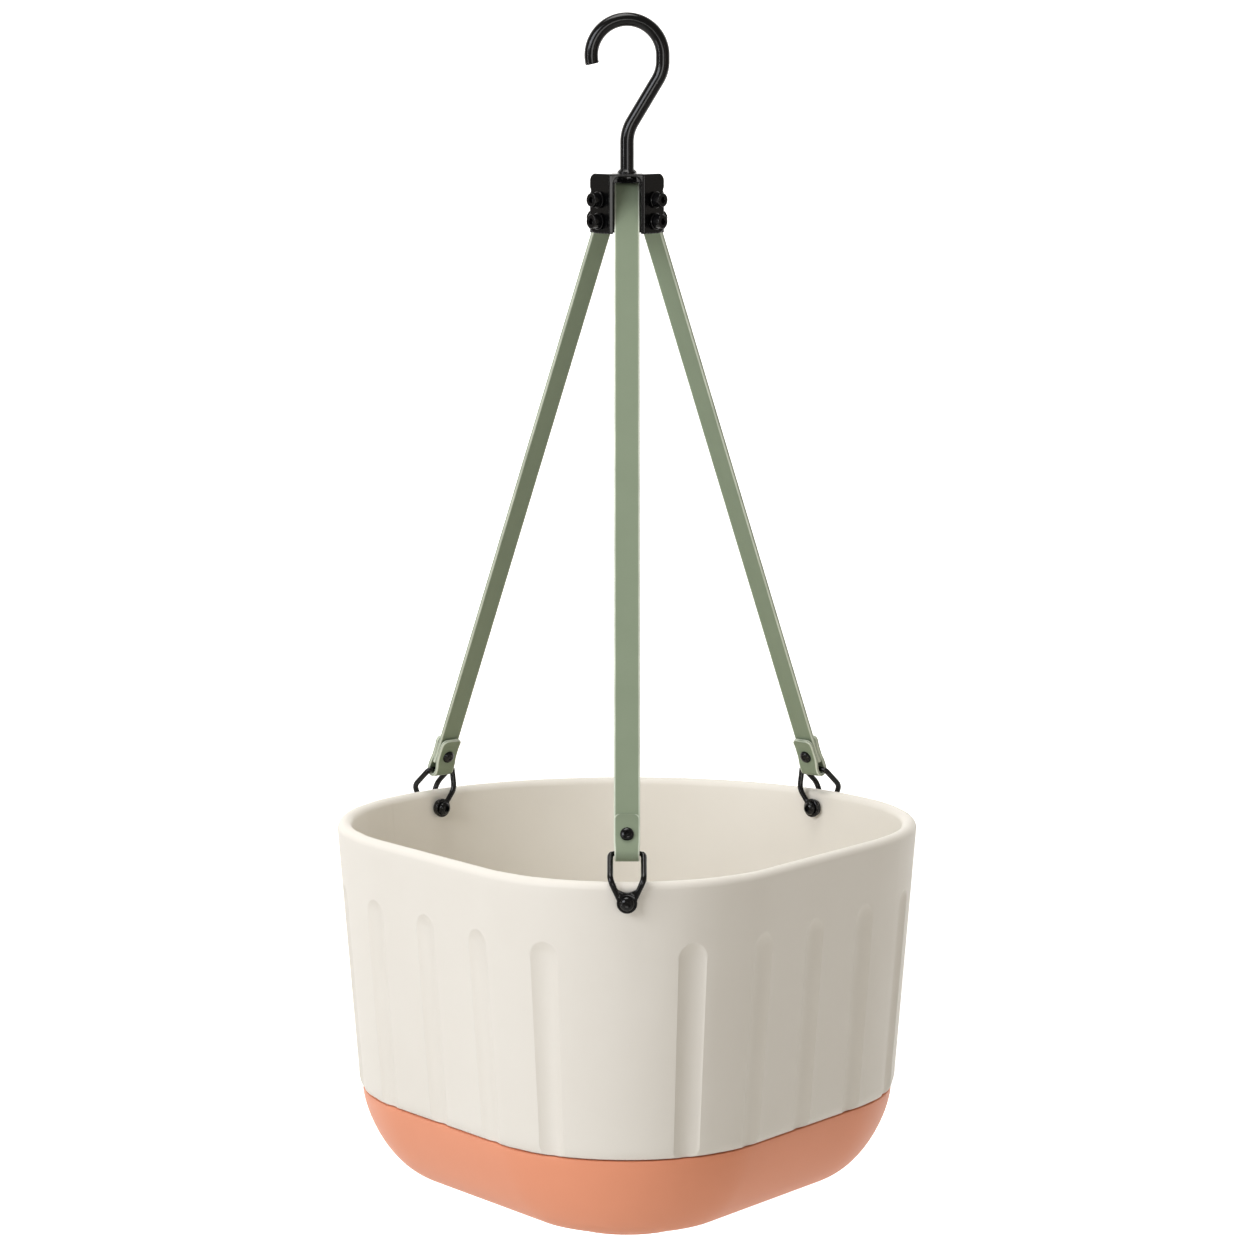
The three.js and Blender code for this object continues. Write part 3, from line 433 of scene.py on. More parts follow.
def apply_modifiers(piece):
    """Replaces a piece's mesh with what its modifiers make of it."""
    depsgraph = bpy.context.evaluated_depsgraph_get()
    made = bpy.data.meshes.new_from_object(piece.evaluated_get(depsgraph))
    piece.modifiers.clear()
    piece.data = made


for k in range(DRAINS):
    cutter = drain_cutter(2 * math.pi * k / DRAINS)
    drill = floor_plate.modifiers.new("drill", "BOOLEAN")
    drill.object = cutter
    drill.solver = "EXACT"
    apply_modifiers(floor_plate)
    bpy.data.objects.remove(cutter)
close_mesh(floor_plate.data)
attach(floor_plate, "basket")
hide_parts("floor_plate")

# --- Drip tray ----------------------------------------------------------------------------
# A shallow moulded bowl in coral polypropylene. Its lip pushes up inside the shell's skirt,
# and it stands on a small flat foot.
TRAY_GAP = 0.0007
TRAY_STEP = 0.0020
TRAY_TOP = SHELL_H + TRAY_GAP
TRAY_INSET = edge_inset + TRAY_STEP
TRAY_T = 0.0034
BOWL_W = 0.029
FOOT_DEPTH = RIM_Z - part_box("drip_tray")[0].z
FOOT_RISE = 0.005
FOOT_IN = 0.015
FOOT_ROUNDING = [[-0.0035, -0.0018], [-0.0005, -0.0012], [0, -0.0008], [0.0002, -0.0002],
                 [0.0008, 0]]
LIP_GAP = 0.00045
LIP_INSET = SKIRT_INSET + LIP_GAP
LIP_T = 0.0024
LIP_UP = 0.008
LIP_ROOT = 0.004
TRAY_EASE = 0.0002


def bowl_side(grow, steps=22):
    """The bowl's profile: inset and depth follow a rounded corner, 1-cos^1.3 and sin^1.3."""
    a = np.linspace(0, math.pi / 2, steps)
    height = FOOT_DEPTH - FOOT_RISE - TRAY_TOP - grow
    inset = TRAY_INSET + grow + (BOWL_W - grow) * (1 - np.maximum(np.cos(a), 0) ** 1.3)
    return np.stack([inset, TRAY_TOP + height * np.sin(a) ** 1.3], -1)


tray_around = np.linspace(-HALF_ROUND, HALF_ROUND, 481)[:-1]
foot_edge = TRAY_INSET + BOWL_W + FOOT_IN
foot_profile = np.concatenate([
    [[TRAY_INSET + BOWL_W + 0.004, FOOT_DEPTH - FOOT_RISE + 3 * TRAY_EASE]],
    np.array([foot_edge, FOOT_DEPTH]) + FOOT_ROUNDING])
top_edge = np.array([
    [LIP_INSET, TRAY_TOP + TRAY_EASE], [LIP_INSET - 2 * TRAY_EASE, TRAY_TOP],
    [TRAY_INSET + 3 * TRAY_EASE, TRAY_TOP], [TRAY_INSET + TRAY_EASE, TRAY_TOP + TRAY_EASE]])
lip_top = TRAY_TOP - LIP_UP
lip_inside = LIP_INSET + LIP_T
lip_profile = np.array([
    [lip_inside, TRAY_TOP + LIP_ROOT], [lip_inside, lip_top + 4 * TRAY_EASE],
    [lip_inside - 3 * TRAY_EASE, lip_top], [LIP_INSET + 3 * TRAY_EASE, lip_top],
    [LIP_INSET, lip_top + 4 * TRAY_EASE]])
inner_side = bowl_side(TRAY_T, 16)[::-1]
inner_side = inner_side[inner_side[:, 0] > lip_inside]
outer_side = bowl_side(0)[1:]
tray_grid = lofted(tray_around, np.concatenate([
    inner_side, lip_profile, top_edge, outer_side, foot_profile]))

# The same moulded finish as the shell in coral, a little smoother, with clouds 38 mm across.
coral = moulded_plastic("coral_moulded_polypropylene", "#ec9873", "#f09d79", 26.0, 0.5)
tray = skin("drip_tray_moulding", filled(tray_grid), material=coral)
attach(tray, "tray")
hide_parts("drip_tray")

# --- Straps -------------------------------------------------------------------------------
# Three flat bands of sage-green silicone-coated webbing, cut square with eased edges. They
# run straight from the bracket to the shackles' bars.
STRAP_W = 0.0127
STRAP_T = 0.0018
STRAP_EASE = 0.0005
BACK_TURN = math.radians(43)
STRAP_TOP_Z = -0.102
STRAP_LOW = 0.0045
STRAP_ROWS = 90
BACK_TOP_UP = 0.021
FRONT_TOP_REACH = 0.012
BACK_TOP_REACH = 0.0185
BOLT_DROP = 0.0092
BAR_RISE = 0.02165
FRONT_BAR_IN = 0.0122
BACK_BAR_IN = 0.009
FRONT_KNEE_UP = 0.007
BACK_KNEE_UP = 0.0098
BOLT_Z = RIM_Z - BOLT_DROP
BAR_Z = BOLT_Z + BAR_RISE


class Station:
    """One strap's place: its turn about the axis, the rim's distance, the strap's distance
    from the axis at the bracket, how far the bar stands inside the wall's outer face, the
    side of the shackle's inner leg, and how far above the bolt that leg bends."""

    def __init__(self, name, turn, rim_reach, top_reach, bar_in, leg_side, knee_up):
        self.name = name
        self.leg_side = leg_side
        self.knee_up = knee_up
        self.wall = rim_reach - draft_at(BOLT_DROP)
        self.bar_in = bar_in
        self.bar_y = -(self.wall - bar_in)
        rise = STRAP_TOP_Z - BAR_Z
        self.lean = math.atan2(-top_reach - self.bar_y, rise)
        self.length = math.hypot(-top_reach - self.bar_y, rise)
        self.turn = np.array([
            [math.cos(turn), -math.sin(turn), 0], [math.sin(turn), math.cos(turn), 0], [0, 0, 1]])

    def from_strap(self, points):
        """Strap coordinates (width, thickness inwards, up the strap from the bar) to world."""
        c, s = math.cos(self.lean), math.sin(self.lean)
        tilt = np.array([[1, 0, 0], [0, c, s], [0, -s, c]])
        local = points @ tilt.T + [0, self.bar_y, BAR_Z]
        return local @ self.turn.T

    def from_bolt(self, points):
        """Bolt coordinates (sideways, inwards from the wall's face, up) to world."""
        return (points + [0, -self.wall, BOLT_Z]) @ self.turn.T


stations = [
    Station("front", 0, -NOSE_Y, FRONT_TOP_REACH, FRONT_BAR_IN, 1, FRONT_KNEE_UP),
    Station("left", math.pi + BACK_TURN, BACK_R, BACK_TOP_REACH, BACK_BAR_IN, -1, BACK_KNEE_UP),
    Station("right", math.pi - BACK_TURN, BACK_R, BACK_TOP_REACH, BACK_BAR_IN, 1, BACK_KNEE_UP),
]


def eased_section(width, thickness, ease, steps=4):
    """A rectangle's outline with quarter-round corners, as (thickness, width) pairs with the
    painted edge highlight of each: 1 on the corners, falling to 0 a little way along each flat."""
    a = np.linspace(0, math.pi / 2, steps)
    flat_start = 1.9 * ease
    corner = np.stack([np.cos(a) * ease, np.sin(a) * ease], -1) - ease
    corner = np.concatenate([[[0, -flat_start]], corner, [[-flat_start, 0]]])
    edge_highlight = np.array([0, *np.ones(steps), 0])
    half = np.array([thickness, width]) / 2
    quarters = [(corner, (1, 1)), (corner[::-1], (-1, 1)),
                (corner, (-1, -1)), (corner[::-1], (1, -1))]
    outline = np.concatenate([(half + points) * sign for points, sign in quarters])
    return outline, np.tile(edge_highlight, 4)


def ribbon(path, width, thickness, ease, half_widths=None):
    """A flat band along a path in the (thickness, up) plane: at each point the eased section
    is set across the path's direction, and its width follows half_widths. Returns the grid
    with closed ends, and the painted edge highlight of its points."""
    along = np.gradient(path, axis=0)
    along /= np.linalg.norm(along, axis=1, keepdims=True)
    across = np.stack([along[:, 1], -along[:, 0]], -1)
    section, edge_highlight = eased_section(width, thickness, ease)
    spread = np.ones(len(path)) if half_widths is None else half_widths / (width / 2)
    plane = path[:, None] + across[:, None] * section[None, :, :1]
    side = section[None, :, 1] * spread[:, None]
    grid = capped(np.concatenate([side[..., None], plane], -1))
    edge_highlight = np.tile(edge_highlight, (len(grid), 1))
    edge_highlight[[1, -2]] = 1
    return grid, edge_highlight


def arc(centre, radius, start, end, count):
    """Points on a circle's arc from one angle to another, in degrees."""
    a = np.radians(np.linspace(start, end, count))
    return np.stack([centre[0] + radius * np.cos(a), centre[1] + radius * np.sin(a)], -1)


PIN_R = 0.0015
WRAP_GAP = 0.0004
WRAP_R = PIN_R + WRAP_GAP + STRAP_T / 2
PIN_UP = 0.0232
TAIL_L = 0.011

# Sage silicone over webbing: a dense matt skin, clouded every 17 mm or so, with the fine
# 0.45 mm grain of the weave under it. Its edges and ends are painted paler, a painted
# highlight where light would catch them, patchy with the clouds.
sage, tree, shader = new_material("sage_silicone_coated_webbing")
spot = add_node(tree, "ShaderNodeTexCoord")
cloud = add_node(tree, "ShaderNodeTexNoise", {"Vector": (spot, "Object")},
                 {"Scale": 60.0, "Detail": 4.0, "Roughness": 0.6})
tint = add_node(tree, "ShaderNodeMix", {"Factor": (cloud, "Fac")}, data_type="RGBA")
tint.inputs["A"].default_value = linear("#828f77")
tint.inputs["B"].default_value = linear("#88957d")
# Painted highlight: the band's corners and ends are mixed towards a pale sage, more where the
# clouds are light.
edge = add_node(tree, "ShaderNodeAttribute", attribute_name="edge_highlight")
blotch = add_node(tree, "ShaderNodeMath", {0: (cloud, "Fac")}, {1: 0.25}, operation="ADD")
highlight_share = add_node(tree, "ShaderNodeMath", {0: (edge, "Fac"), 1: (blotch, "Value")},
                   operation="MULTIPLY", use_clamp=True)
highlighted = add_node(tree, "ShaderNodeMix", {"Factor": (highlight_share, "Value")}, data_type="RGBA")
tree.links.new(tint.outputs["Result"], highlighted.inputs["A"])
highlighted.inputs["B"].default_value = linear("#e3ead9")
tree.links.new(highlighted.outputs["Result"], shader.inputs["Base Color"])
grain = add_node(tree, "ShaderNodeTexNoise", {"Vector": (spot, "Object")},
                 {"Scale": 2200.0, "Detail": 2.0})
relief = add_node(tree, "ShaderNodeBump", {"Height": (grain, "Fac")},
                  {"Strength": 0.2, "Distance": 0.0001})
tree.links.new(relief.outputs["Normal"], shader.inputs["Normal"])
shader.inputs["Roughness"].default_value = 0.58
shader.inputs["IOR"].default_value = 1.43

for station in stations:
    top = station.length + (PIN_UP if station.name == "front" else BACK_TOP_UP)
    path = np.stack([np.zeros(STRAP_ROWS), np.linspace(STRAP_LOW, top, STRAP_ROWS)], -1)
    if station.name == "front":
        over = arc((WRAP_R, top), WRAP_R, 180, 0, 25)[1:]
        tail = np.array([[2 * WRAP_R, top - TAIL_L * k] for k in (0.3, 0.6, 1.0)])
        path = np.concatenate([path, over, tail])
    grid, edge_highlight = ribbon(path, STRAP_W, STRAP_T, STRAP_EASE)
    band = skin(f"strap_{station.name}_band", station.from_strap(grid), material=sage, edge_highlight=edge_highlight)
    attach(band, f"{station.name}_strap")
    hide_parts(f"strap_{station.name}")

# --- Strap loops --------------------------------------------------------------------------
# A short length of the same band is folded round the shackle's bar. Its two ends sandwich
# the strap and have rounded corners.
LOOP_BORE_R = 0.0022
TAB_L = 0.01865
TAB_ROUND = 0.0026
TAB_GAP = 0.0003
TAB_OUT = STRAP_T + TAB_GAP
SPREAD_FROM = 0.0085
SPREAD_L = 0.0075
FOLD_UP = 0.0005
FOLD_EASE = 0.0003
TAB_LIFT = 0.0009
TAB_LIFT_L = 0.0065
LOOP_R = LOOP_BORE_R + STRAP_T / 2


def loop_path():
    """Down one tab, round the bar and up the other: two straight runs that spread by a
    smooth step towards the fold, joined by a half circle. The tabs' ends lift a little."""
    up = np.concatenate([TAB_L - TAB_ROUND * (1 - np.cos(np.linspace(0, math.pi / 2, 9))),
                         np.linspace(TAB_L - TAB_ROUND, FOLD_UP, 26)[1:]])
    t = np.clip((SPREAD_FROM - up) / SPREAD_L, 0, 1)
    lift = np.clip((up - TAB_L + TAB_LIFT_L) / TAB_LIFT_L, 0, 1)
    out = TAB_OUT + (LOOP_R - TAB_OUT) * t * t * (3 - 2 * t) + TAB_LIFT * lift ** 2
    down = np.stack([-out, up], -1)
    fold = arc((0, 0), LOOP_R, 180, 360, 25)
    return np.concatenate([down, fold, down[::-1] * [-1, 1]])


def tab_half_widths(path):
    """Half the band's width at each point: a quarter round narrows it at the tabs' ends, and
    the fold is a little narrower, so that the shackle can tilt."""
    short = np.clip(TAB_ROUND - (TAB_L - path[:, 1]), 0, TAB_ROUND)
    fold = FOLD_EASE * np.clip(1.5 - path[:, 1] / LOOP_R, 0, 1)
    return STRAP_W / 2 - fold - TAB_ROUND + np.sqrt(TAB_ROUND ** 2 - short ** 2)


for station in stations:
    path = loop_path()
    grid, edge_highlight = ribbon(path, STRAP_W, STRAP_T, STRAP_EASE, tab_half_widths(path))
    loop = skin(f"strap_loop_{station.name}_fold", station.from_strap(grid), material=sage,
                edge_highlight=edge_highlight)
    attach(loop, f"{station.name}_strap")
    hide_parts(f"strap_loop_{station.name}")

# --- Rivets -------------------------------------------------------------------------------
# One black steel rivet holds each sandwich, domed on both faces.
RIVET_UP = 0.00865
RIVET_SEAT = 1.5 * STRAP_T + TAB_GAP
RIVET_R = 0.00335
RIVET_H = 0.0022
RIVET_EDGE = 0.0003
RIVET_SHANK_R = 0.0017
DIMPLE_R = 0.0009
DIMPLE = [[0.00085, -0.00012], [0.0006, -0.0005], [0, -0.0006]]

# Powder-coated steel: a thick satin-black film with a 1.1 mm orange-peel ripple that breaks
# up the highlights, and a faint painted highlight that greys its sharp edges.
black, tree, shader = new_material("black_powder_coated_steel")
spot = add_node(tree, "ShaderNodeTexCoord")
ripple = add_node(tree, "ShaderNodeTexNoise", {"Vector": (spot, "Object")},
                  {"Scale": 900.0, "Detail": 3.0})
relief = add_node(tree, "ShaderNodeBump", {"Height": (ripple, "Fac")},
                  {"Strength": 0.1, "Distance": 0.0001})
tree.links.new(relief.outputs["Normal"], shader.inputs["Normal"])
geometry = add_node(tree, "ShaderNodeNewGeometry")
# Painted highlight: where the mesh is pointed, at sharp edges, the black turns a little grey.
edge = add_node(tree, "ShaderNodeMapRange", {"Value": (geometry, "Pointiness")},
                {"From Min": 0.52, "From Max": 0.62})
painted_edge_sheen = add_node(tree, "ShaderNodeMix", {"Factor": (edge, "Result")}, data_type="RGBA")
painted_edge_sheen.inputs["A"].default_value = linear("#060607")
painted_edge_sheen.inputs["B"].default_value = linear("#151517")
tree.links.new(painted_edge_sheen.outputs["Result"], shader.inputs["Base Color"])
shader.inputs["Roughness"].default_value = 0.16
shader.inputs["IOR"].default_value = 1.5
shader.inputs["Specular IOR Level"].default_value = 0.36


def turned(profile, count=48, socket=None):
    """A solid of revolution about Y: the profile lists (radius, distance outwards, share), and
    where share is above 0 the radius moves by that share towards a hexagon socket's wall."""
    a = np.linspace(0, 2 * math.pi, count, endpoint=False)
    profile = np.asarray(profile, float)
    radius = np.broadcast_to(profile[:, :1], (len(profile), count)).copy()
    if socket:
        hexagon = socket * math.cos(math.pi / 6) / np.cos((a % (math.pi / 3)) - math.pi / 6)
        radius += profile[:, 2:3] * (hexagon[None] - radius)
    out = np.broadcast_to(profile[:, 1:2], radius.shape)
    return np.stack([radius * np.cos(a), -out, radius * np.sin(a)], -1)


def rivet_profile():
    """Dome, shank, dome: each dome is a flattened quarter ellipse with a small dimple on top."""
    a = np.linspace(0, math.pi / 2, 10)
    dome = np.stack([DIMPLE_R + (RIVET_R - DIMPLE_R) * np.cos(a) ** 0.9,
                     RIVET_SEAT + RIVET_EDGE + (RIVET_H - RIVET_EDGE) * np.sin(a)], -1)
    dimple = np.array(DIMPLE) + [0, RIVET_SEAT + RIVET_H]
    head = np.concatenate([
        [[RIVET_SHANK_R, RIVET_SEAT], [RIVET_R - 0.0001, RIVET_SEAT]], dome, dimple])
    return np.concatenate([head[::-1] * [1, -1], head])


for station in stations:
    grid = turned(rivet_profile()) + [0, 0, RIVET_UP]
    rivet = skin(f"rivet_{station.name}", station.from_strap(grid), material=black)
    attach(rivet, f"{station.name}_strap")
    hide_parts(f"strap_rivet_{station.name}")

# --- Shackles -----------------------------------------------------------------------------
# Each is forged in one piece: a yoke whose legs flow into a flat outer eye, and one inner leg
# that crosses the rim to an inner eye. It is powder coated black.
WIRE_R = 0.0015
WIRE_END_R = 0.0013
BAR_R = 0.0012
LEG_X = 0.0081
KNEE_UP = 0.0116
KNEE_ROUND = 0.003
TAPER_UP = (0.002, 0.008)
LOOP_HALF_W = 0.0068
EYE_R = 0.005
EYE_EASE = 0.0006
OUTER_EYE = (0.00165, 0.00435)
INNER_EYE = (-0.0114, -0.0090)
YOKE_FOOT = (0.0033, 0.0008)
LEG_FOOT = (0.0022, 0.0015)
LEG_DROP = 0.0009
LEG_KNEE_IN = 0.0006
WEB_TOP = 0.0078
WEB_DIP = 0.0026
WEB_HALF_W = 0.0036
WEB_FLARE = 0.42
WEB_IN = 0.0003
FORGING_VOXEL = 0.00028
FORGING_EASING = 6


def rounded(corners, radius, steps=7):
    """A path through corners, each replaced by a quadratic curve that starts and ends one
    radius away from it."""
    corners = np.asarray(corners, float)
    t = np.linspace(0, 1, steps)[:, None]
    parts = [corners[:1]]
    for before, corner, after in zip(corners, corners[1:], corners[2:]):
        start = corner + (before - corner) * radius / np.linalg.norm(before - corner)
        end = corner + (after - corner) * radius / np.linalg.norm(after - corner)
        parts.append((1 - t) ** 2 * start + 2 * t * (1 - t) * corner + t ** 2 * end)
    return np.concatenate([*parts, corners[-1:]])


def pipe(path, radius, count=20):
    """A round bar along a path: circles set across its direction, with frames that turn as
    little as they can. Radius may be one number or one for each point."""
    along = np.gradient(path, axis=0)
    along /= np.linalg.norm(along, axis=1, keepdims=True)
    side = np.cross(along[0], [0.31, 0.95, 0.07])
    sides = []
    for direction in along:
        side = side - direction * (side @ direction)
        side = side / np.linalg.norm(side)
        sides.append(side)
    sides = np.array(sides)
    other = np.cross(along, sides)
    a = np.linspace(0, 2 * math.pi, count, endpoint=False)[None, :, None]
    r = np.broadcast_to(np.asarray(radius, float), (len(path),))[:, None, None]
    return path[:, None] + r * (np.cos(a) * sides[:, None] + np.sin(a) * other[:, None])


def eye_disc(span):
    """A flat eye: a disc between two distances from the wall, with eased edges."""
    low, high = span
    flat, cut = EYE_R - EYE_EASE, 0.3 * EYE_EASE
    return turned([
        [0, low], [flat, low], [EYE_R - cut, low + cut], [EYE_R, low + EYE_EASE],
        [EYE_R, high - EYE_EASE], [EYE_R - cut, high - cut], [flat, high], [0, high]], 64)


def shackle_parts(side, bar_in, inner_knee_up):
    """Grids of the yoke, its inner leg, the two eyes and the web between the yoke's legs. A
    leg narrows a little where it runs into its eye, and the bar inside the strap's loop."""
    outer, inner = -np.mean(OUTER_EYE), -np.mean(INNER_EYE)
    foot_x, foot_up = YOKE_FOOT
    yoke = rounded([
        [-foot_x, outer, foot_up], [-LEG_X, outer, KNEE_UP], [-LEG_X, bar_in, BAR_RISE],
        [LEG_X, bar_in, BAR_RISE], [LEG_X, outer, KNEE_UP], [foot_x, outer, foot_up]], KNEE_ROUND)
    leg = rounded([
        [side * LEG_X, bar_in, BAR_RISE - LEG_DROP],
        [side * LEG_X, inner + LEG_KNEE_IN, inner_knee_up],
        [side * LEG_FOOT[0], inner, LEG_FOOT[1]]], KNEE_ROUND)
    radius = [np.interp(path[:, 2], TAPER_UP, [WIRE_END_R, WIRE_R]) for path in (yoke, leg)]
    in_loop = (np.abs(yoke[:, 0]) < LOOP_HALF_W) & (yoke[:, 2] > BAR_RISE - 0.001)
    radius[0][in_loop] = BAR_R
    grids = [pipe(yoke, radius[0]), pipe(leg, radius[1]), eye_disc(OUTER_EYE), eye_disc(INNER_EYE)]
    return [*map(capped, grids), web_grid(OUTER_EYE)]


def web_grid(span):
    """The web that fills the crotch above the outer eye: a plate between the legs whose top
    edge dips by a cosine, and whose sides run up along the legs."""
    across = np.linspace(-1, 1, 13)
    top = WEB_TOP - WEB_DIP * np.cos(across * math.pi / 2)
    x = np.concatenate([across * (WEB_HALF_W + top * WEB_FLARE), across[::-1] * WEB_HALF_W])
    z = np.concatenate([top, np.zeros(13)])
    y = -np.array([span[0] + WEB_IN, span[1] - WEB_IN])[:, None]
    return capped(np.stack(np.broadcast_arrays(x[None], y, z[None]), -1))


def fuse(parts, voxel, easing):
    """Joins overlapping closed parts into the first, as one skin made by a fine voxel remesh,
    then smooths it in a few steps, so that joints and edges flow under the coating."""
    whole = parts[0]
    with bpy.context.temp_override(active_object=whole, object=whole, selected_objects=parts,
                                   selected_editable_objects=parts):
        bpy.ops.object.join()
    remesh = whole.modifiers.new("fuse", "REMESH")
    remesh.mode = "VOXEL"
    remesh.voxel_size = voxel
    remesh.use_smooth_shade = True
    ease = whole.modifiers.new("ease", "SMOOTH")
    ease.factor = 0.5
    ease.iterations = easing
    apply_modifiers(whole)
    whole.data.materials.clear()
    whole.data.materials.append(black)
    return whole


for station in stations:
    grids = shackle_parts(station.leg_side, station.bar_in, station.knee_up)
    parts = [skin(f"shackle_{station.name}_forging", station.from_bolt(grid)) for grid in grids]
    shackle = fuse(parts, FORGING_VOXEL, FORGING_EASING)
    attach(shackle, f"{station.name}_shackle")
    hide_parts(f"shackle_{station.name}")

# --- Wall screws, sleeve nuts and washers -------------------------------------------------
# A button-head socket screw goes through the outer eye into a sleeve nut that shows on the
# inner eye. Nylon washers keep both eyes off the wall.
BUTTON_R = 0.00355
BUTTON_H = 0.0024
BUTTON_EDGE = 0.0004
BUTTON_SWEEP = math.radians(62)
BUTTON_SOCKET = 0.0018
BUTTON_SOCKET_DEEP = 0.0014
SCREW_SEAT = 0.00465
SCREW_END = -0.0083
SCREW_SHANK_R = 0.002
NUT_SEAT = 0.0117
NUT_END = 0.001
NUT_SLEEVE_R = 0.0029
OUTER_WASHER = (0.0024, 0.0042, 0.00075, 0.00135)
INNER_WASHER = (0.0032, 0.0045, -0.0087, -0.0081)


def button_head(seat, shank_end, shank_r):
    """Button-head screw: shank, underside, a low dome and a hexagon socket sunk in it."""
    top = seat + BUTTON_H
    a = np.linspace(0.0, 1.0, 9) * BUTTON_SWEEP
    rise = (BUTTON_H - BUTTON_EDGE) * np.sin(a) / math.sin(BUTTON_SWEEP)
    dome = np.stack([BUTTON_R * np.cos(a), seat + BUTTON_EDGE + rise, np.zeros(9)], -1)
    return np.concatenate([
        [[0, shank_end, 0], [shank_r, shank_end, 0], [shank_r, seat, 0],
         [BUTTON_R - 0.0001, seat, 0]], dome,
        [[BUTTON_SOCKET * 1.12, top, 0.7], [BUTTON_SOCKET, top - 0.00012, 1],
         [BUTTON_SOCKET, top - BUTTON_SOCKET_DEEP, 1], [0, top - BUTTON_SOCKET_DEEP - 0.0002, 0]]])


def washer_grid(inner, outer, low, high, ease=0.00012):
    """A flat ring: its section's outline turned about the bolt and closed on itself."""
    section = [[inner, low], [outer - ease, low], [outer, low + ease], [outer, high - ease],
               [outer - ease, high], [inner, high], [inner, low]]
    return turned(section, 48)


# Moulded black nylon: duller than the coating, with a fine texture, 0.6 mm to a grain.
nylon, tree, shader = new_material("black_moulded_nylon")
spot = add_node(tree, "ShaderNodeTexCoord")
grain = add_node(tree, "ShaderNodeTexNoise", {"Vector": (spot, "Object")},
                 {"Scale": 1600.0, "Detail": 2.0})
relief = add_node(tree, "ShaderNodeBump", {"Height": (grain, "Fac")},
                  {"Strength": 0.2, "Distance": 0.0001})
tree.links.new(relief.outputs["Normal"], shader.inputs["Normal"])
shade = add_node(tree, "ShaderNodeMix", {"Factor": (grain, "Fac")}, data_type="RGBA")
shade.inputs["A"].default_value = linear("#171718")
shade.inputs["B"].default_value = linear("#1f1f20")
tree.links.new(shade.outputs["Result"], shader.inputs["Base Color"])
shader.inputs["Roughness"].default_value = 0.55
shader.inputs["IOR"].default_value = 1.53


def place_fitting(name, grid, place, material, body, node):
    """Makes one small fitting, sets it in its place on a body and hides the frame part that it
    stands for.
    """
    piece = skin(name, place(grid), material=material)
    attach(piece, body)
    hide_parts(node)


wall_screw = turned(button_head(SCREW_SEAT, SCREW_END, SCREW_SHANK_R), 48, BUTTON_SOCKET)
wall_nut = turned(button_head(NUT_SEAT, NUT_END, NUT_SLEEVE_R), 48, BUTTON_SOCKET) * [1, -1, 1]
wall_fittings = (
    ("wall_screw", "button", wall_screw, black, "black_powder_coat"),
    ("wall_nut", "sleeve", wall_nut, black, "black_powder_coat"),
    ("outer_washer", "ring", washer_grid(*OUTER_WASHER), nylon, "black_nylon"),
    ("inner_washer", "ring", washer_grid(*INNER_WASHER), nylon, "black_nylon"),
)
for station in stations:
    for kind, form, grid, material, slot in wall_fittings:
        node = f"{kind}_{station.name}"
        place_fitting(f"{node}_{form}", grid, station.from_bolt, material, "basket", node)

# --- Clamp bracket ------------------------------------------------------------------------
# Folded from one steel sheet: an arched channel with an ear swept back at each side and a
# short lip turned down behind, its edges eased before coating.
BRACKET_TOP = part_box("clamp_bracket")[1].z
SHEET_T = 0.0015
CHANNEL_W = 0.0138
CHANNEL_X = CHANNEL_W / 2 + SHEET_T
EAR_SHARE = 0.9
LIP_X = CHANNEL_X - 0.0004
LIP_BACK_Y = 0.0085
LIP_DROPS = (0.0074, 0.0006)
BRACKET_VOXEL = 0.00034
BRACKET_EASING = 5
bracket_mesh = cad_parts["clamp_bracket"].data.copy()
bracket_mesh.name = "clamp_bracket_folded"
close_mesh(bracket_mesh, 1e-6)
for vertex in bracket_mesh.vertices:
    beyond = abs(vertex.co.x) - CHANNEL_X
    if beyond > 0:
        vertex.co.x = math.copysign(CHANNEL_X + beyond * EAR_SHARE, vertex.co.x)
bracket = bpy.data.objects.new("clamp_bracket_folded", bracket_mesh)
bpy.context.scene.collection.objects.link(bracket)
lip_corners = np.array([(-1, 1), (1, 1), (1, -1), (-1, -1)]) * [LIP_X, SHEET_T / 2]
lip_plan = lip_corners + [0, LIP_BACK_Y - SHEET_T / 2]
lip_z = BRACKET_TOP - np.array(LIP_DROPS)[:, None]
lip_grid = np.stack(np.broadcast_arrays(lip_plan[:, 0], lip_plan[:, 1], lip_z), -1)
fuse([bracket, skin("bracket_lip", capped(lip_grid))], BRACKET_VOXEL, BRACKET_EASING)
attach(bracket, "basket")
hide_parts("clamp_bracket")

# --- Bracket screws and washers -----------------------------------------------------------
# Four M4 socket cap screws clamp the ears to the block, each on a plain washer, and four more
# hold the rear plates.
EAR_TURN = math.radians(48)
EAR_W = 0.0157
ARCH_Y = -0.013
SCREW_DROPS = (0.0131, 0.0239)
SCREW_IN = 0.0008
CAP_R = 0.0035
CAP_H = 0.004
CAP_SHANK_R = 0.0014
CAP_SOCKET = 0.00175
CAP_SOCKET_DEEP = 0.0022
EAR_SHANK_L = 0.0054
EAR_WASHER = (0.0023, 0.0042)
EAR_WASHER_T = 0.0008
GAP = 0.0003


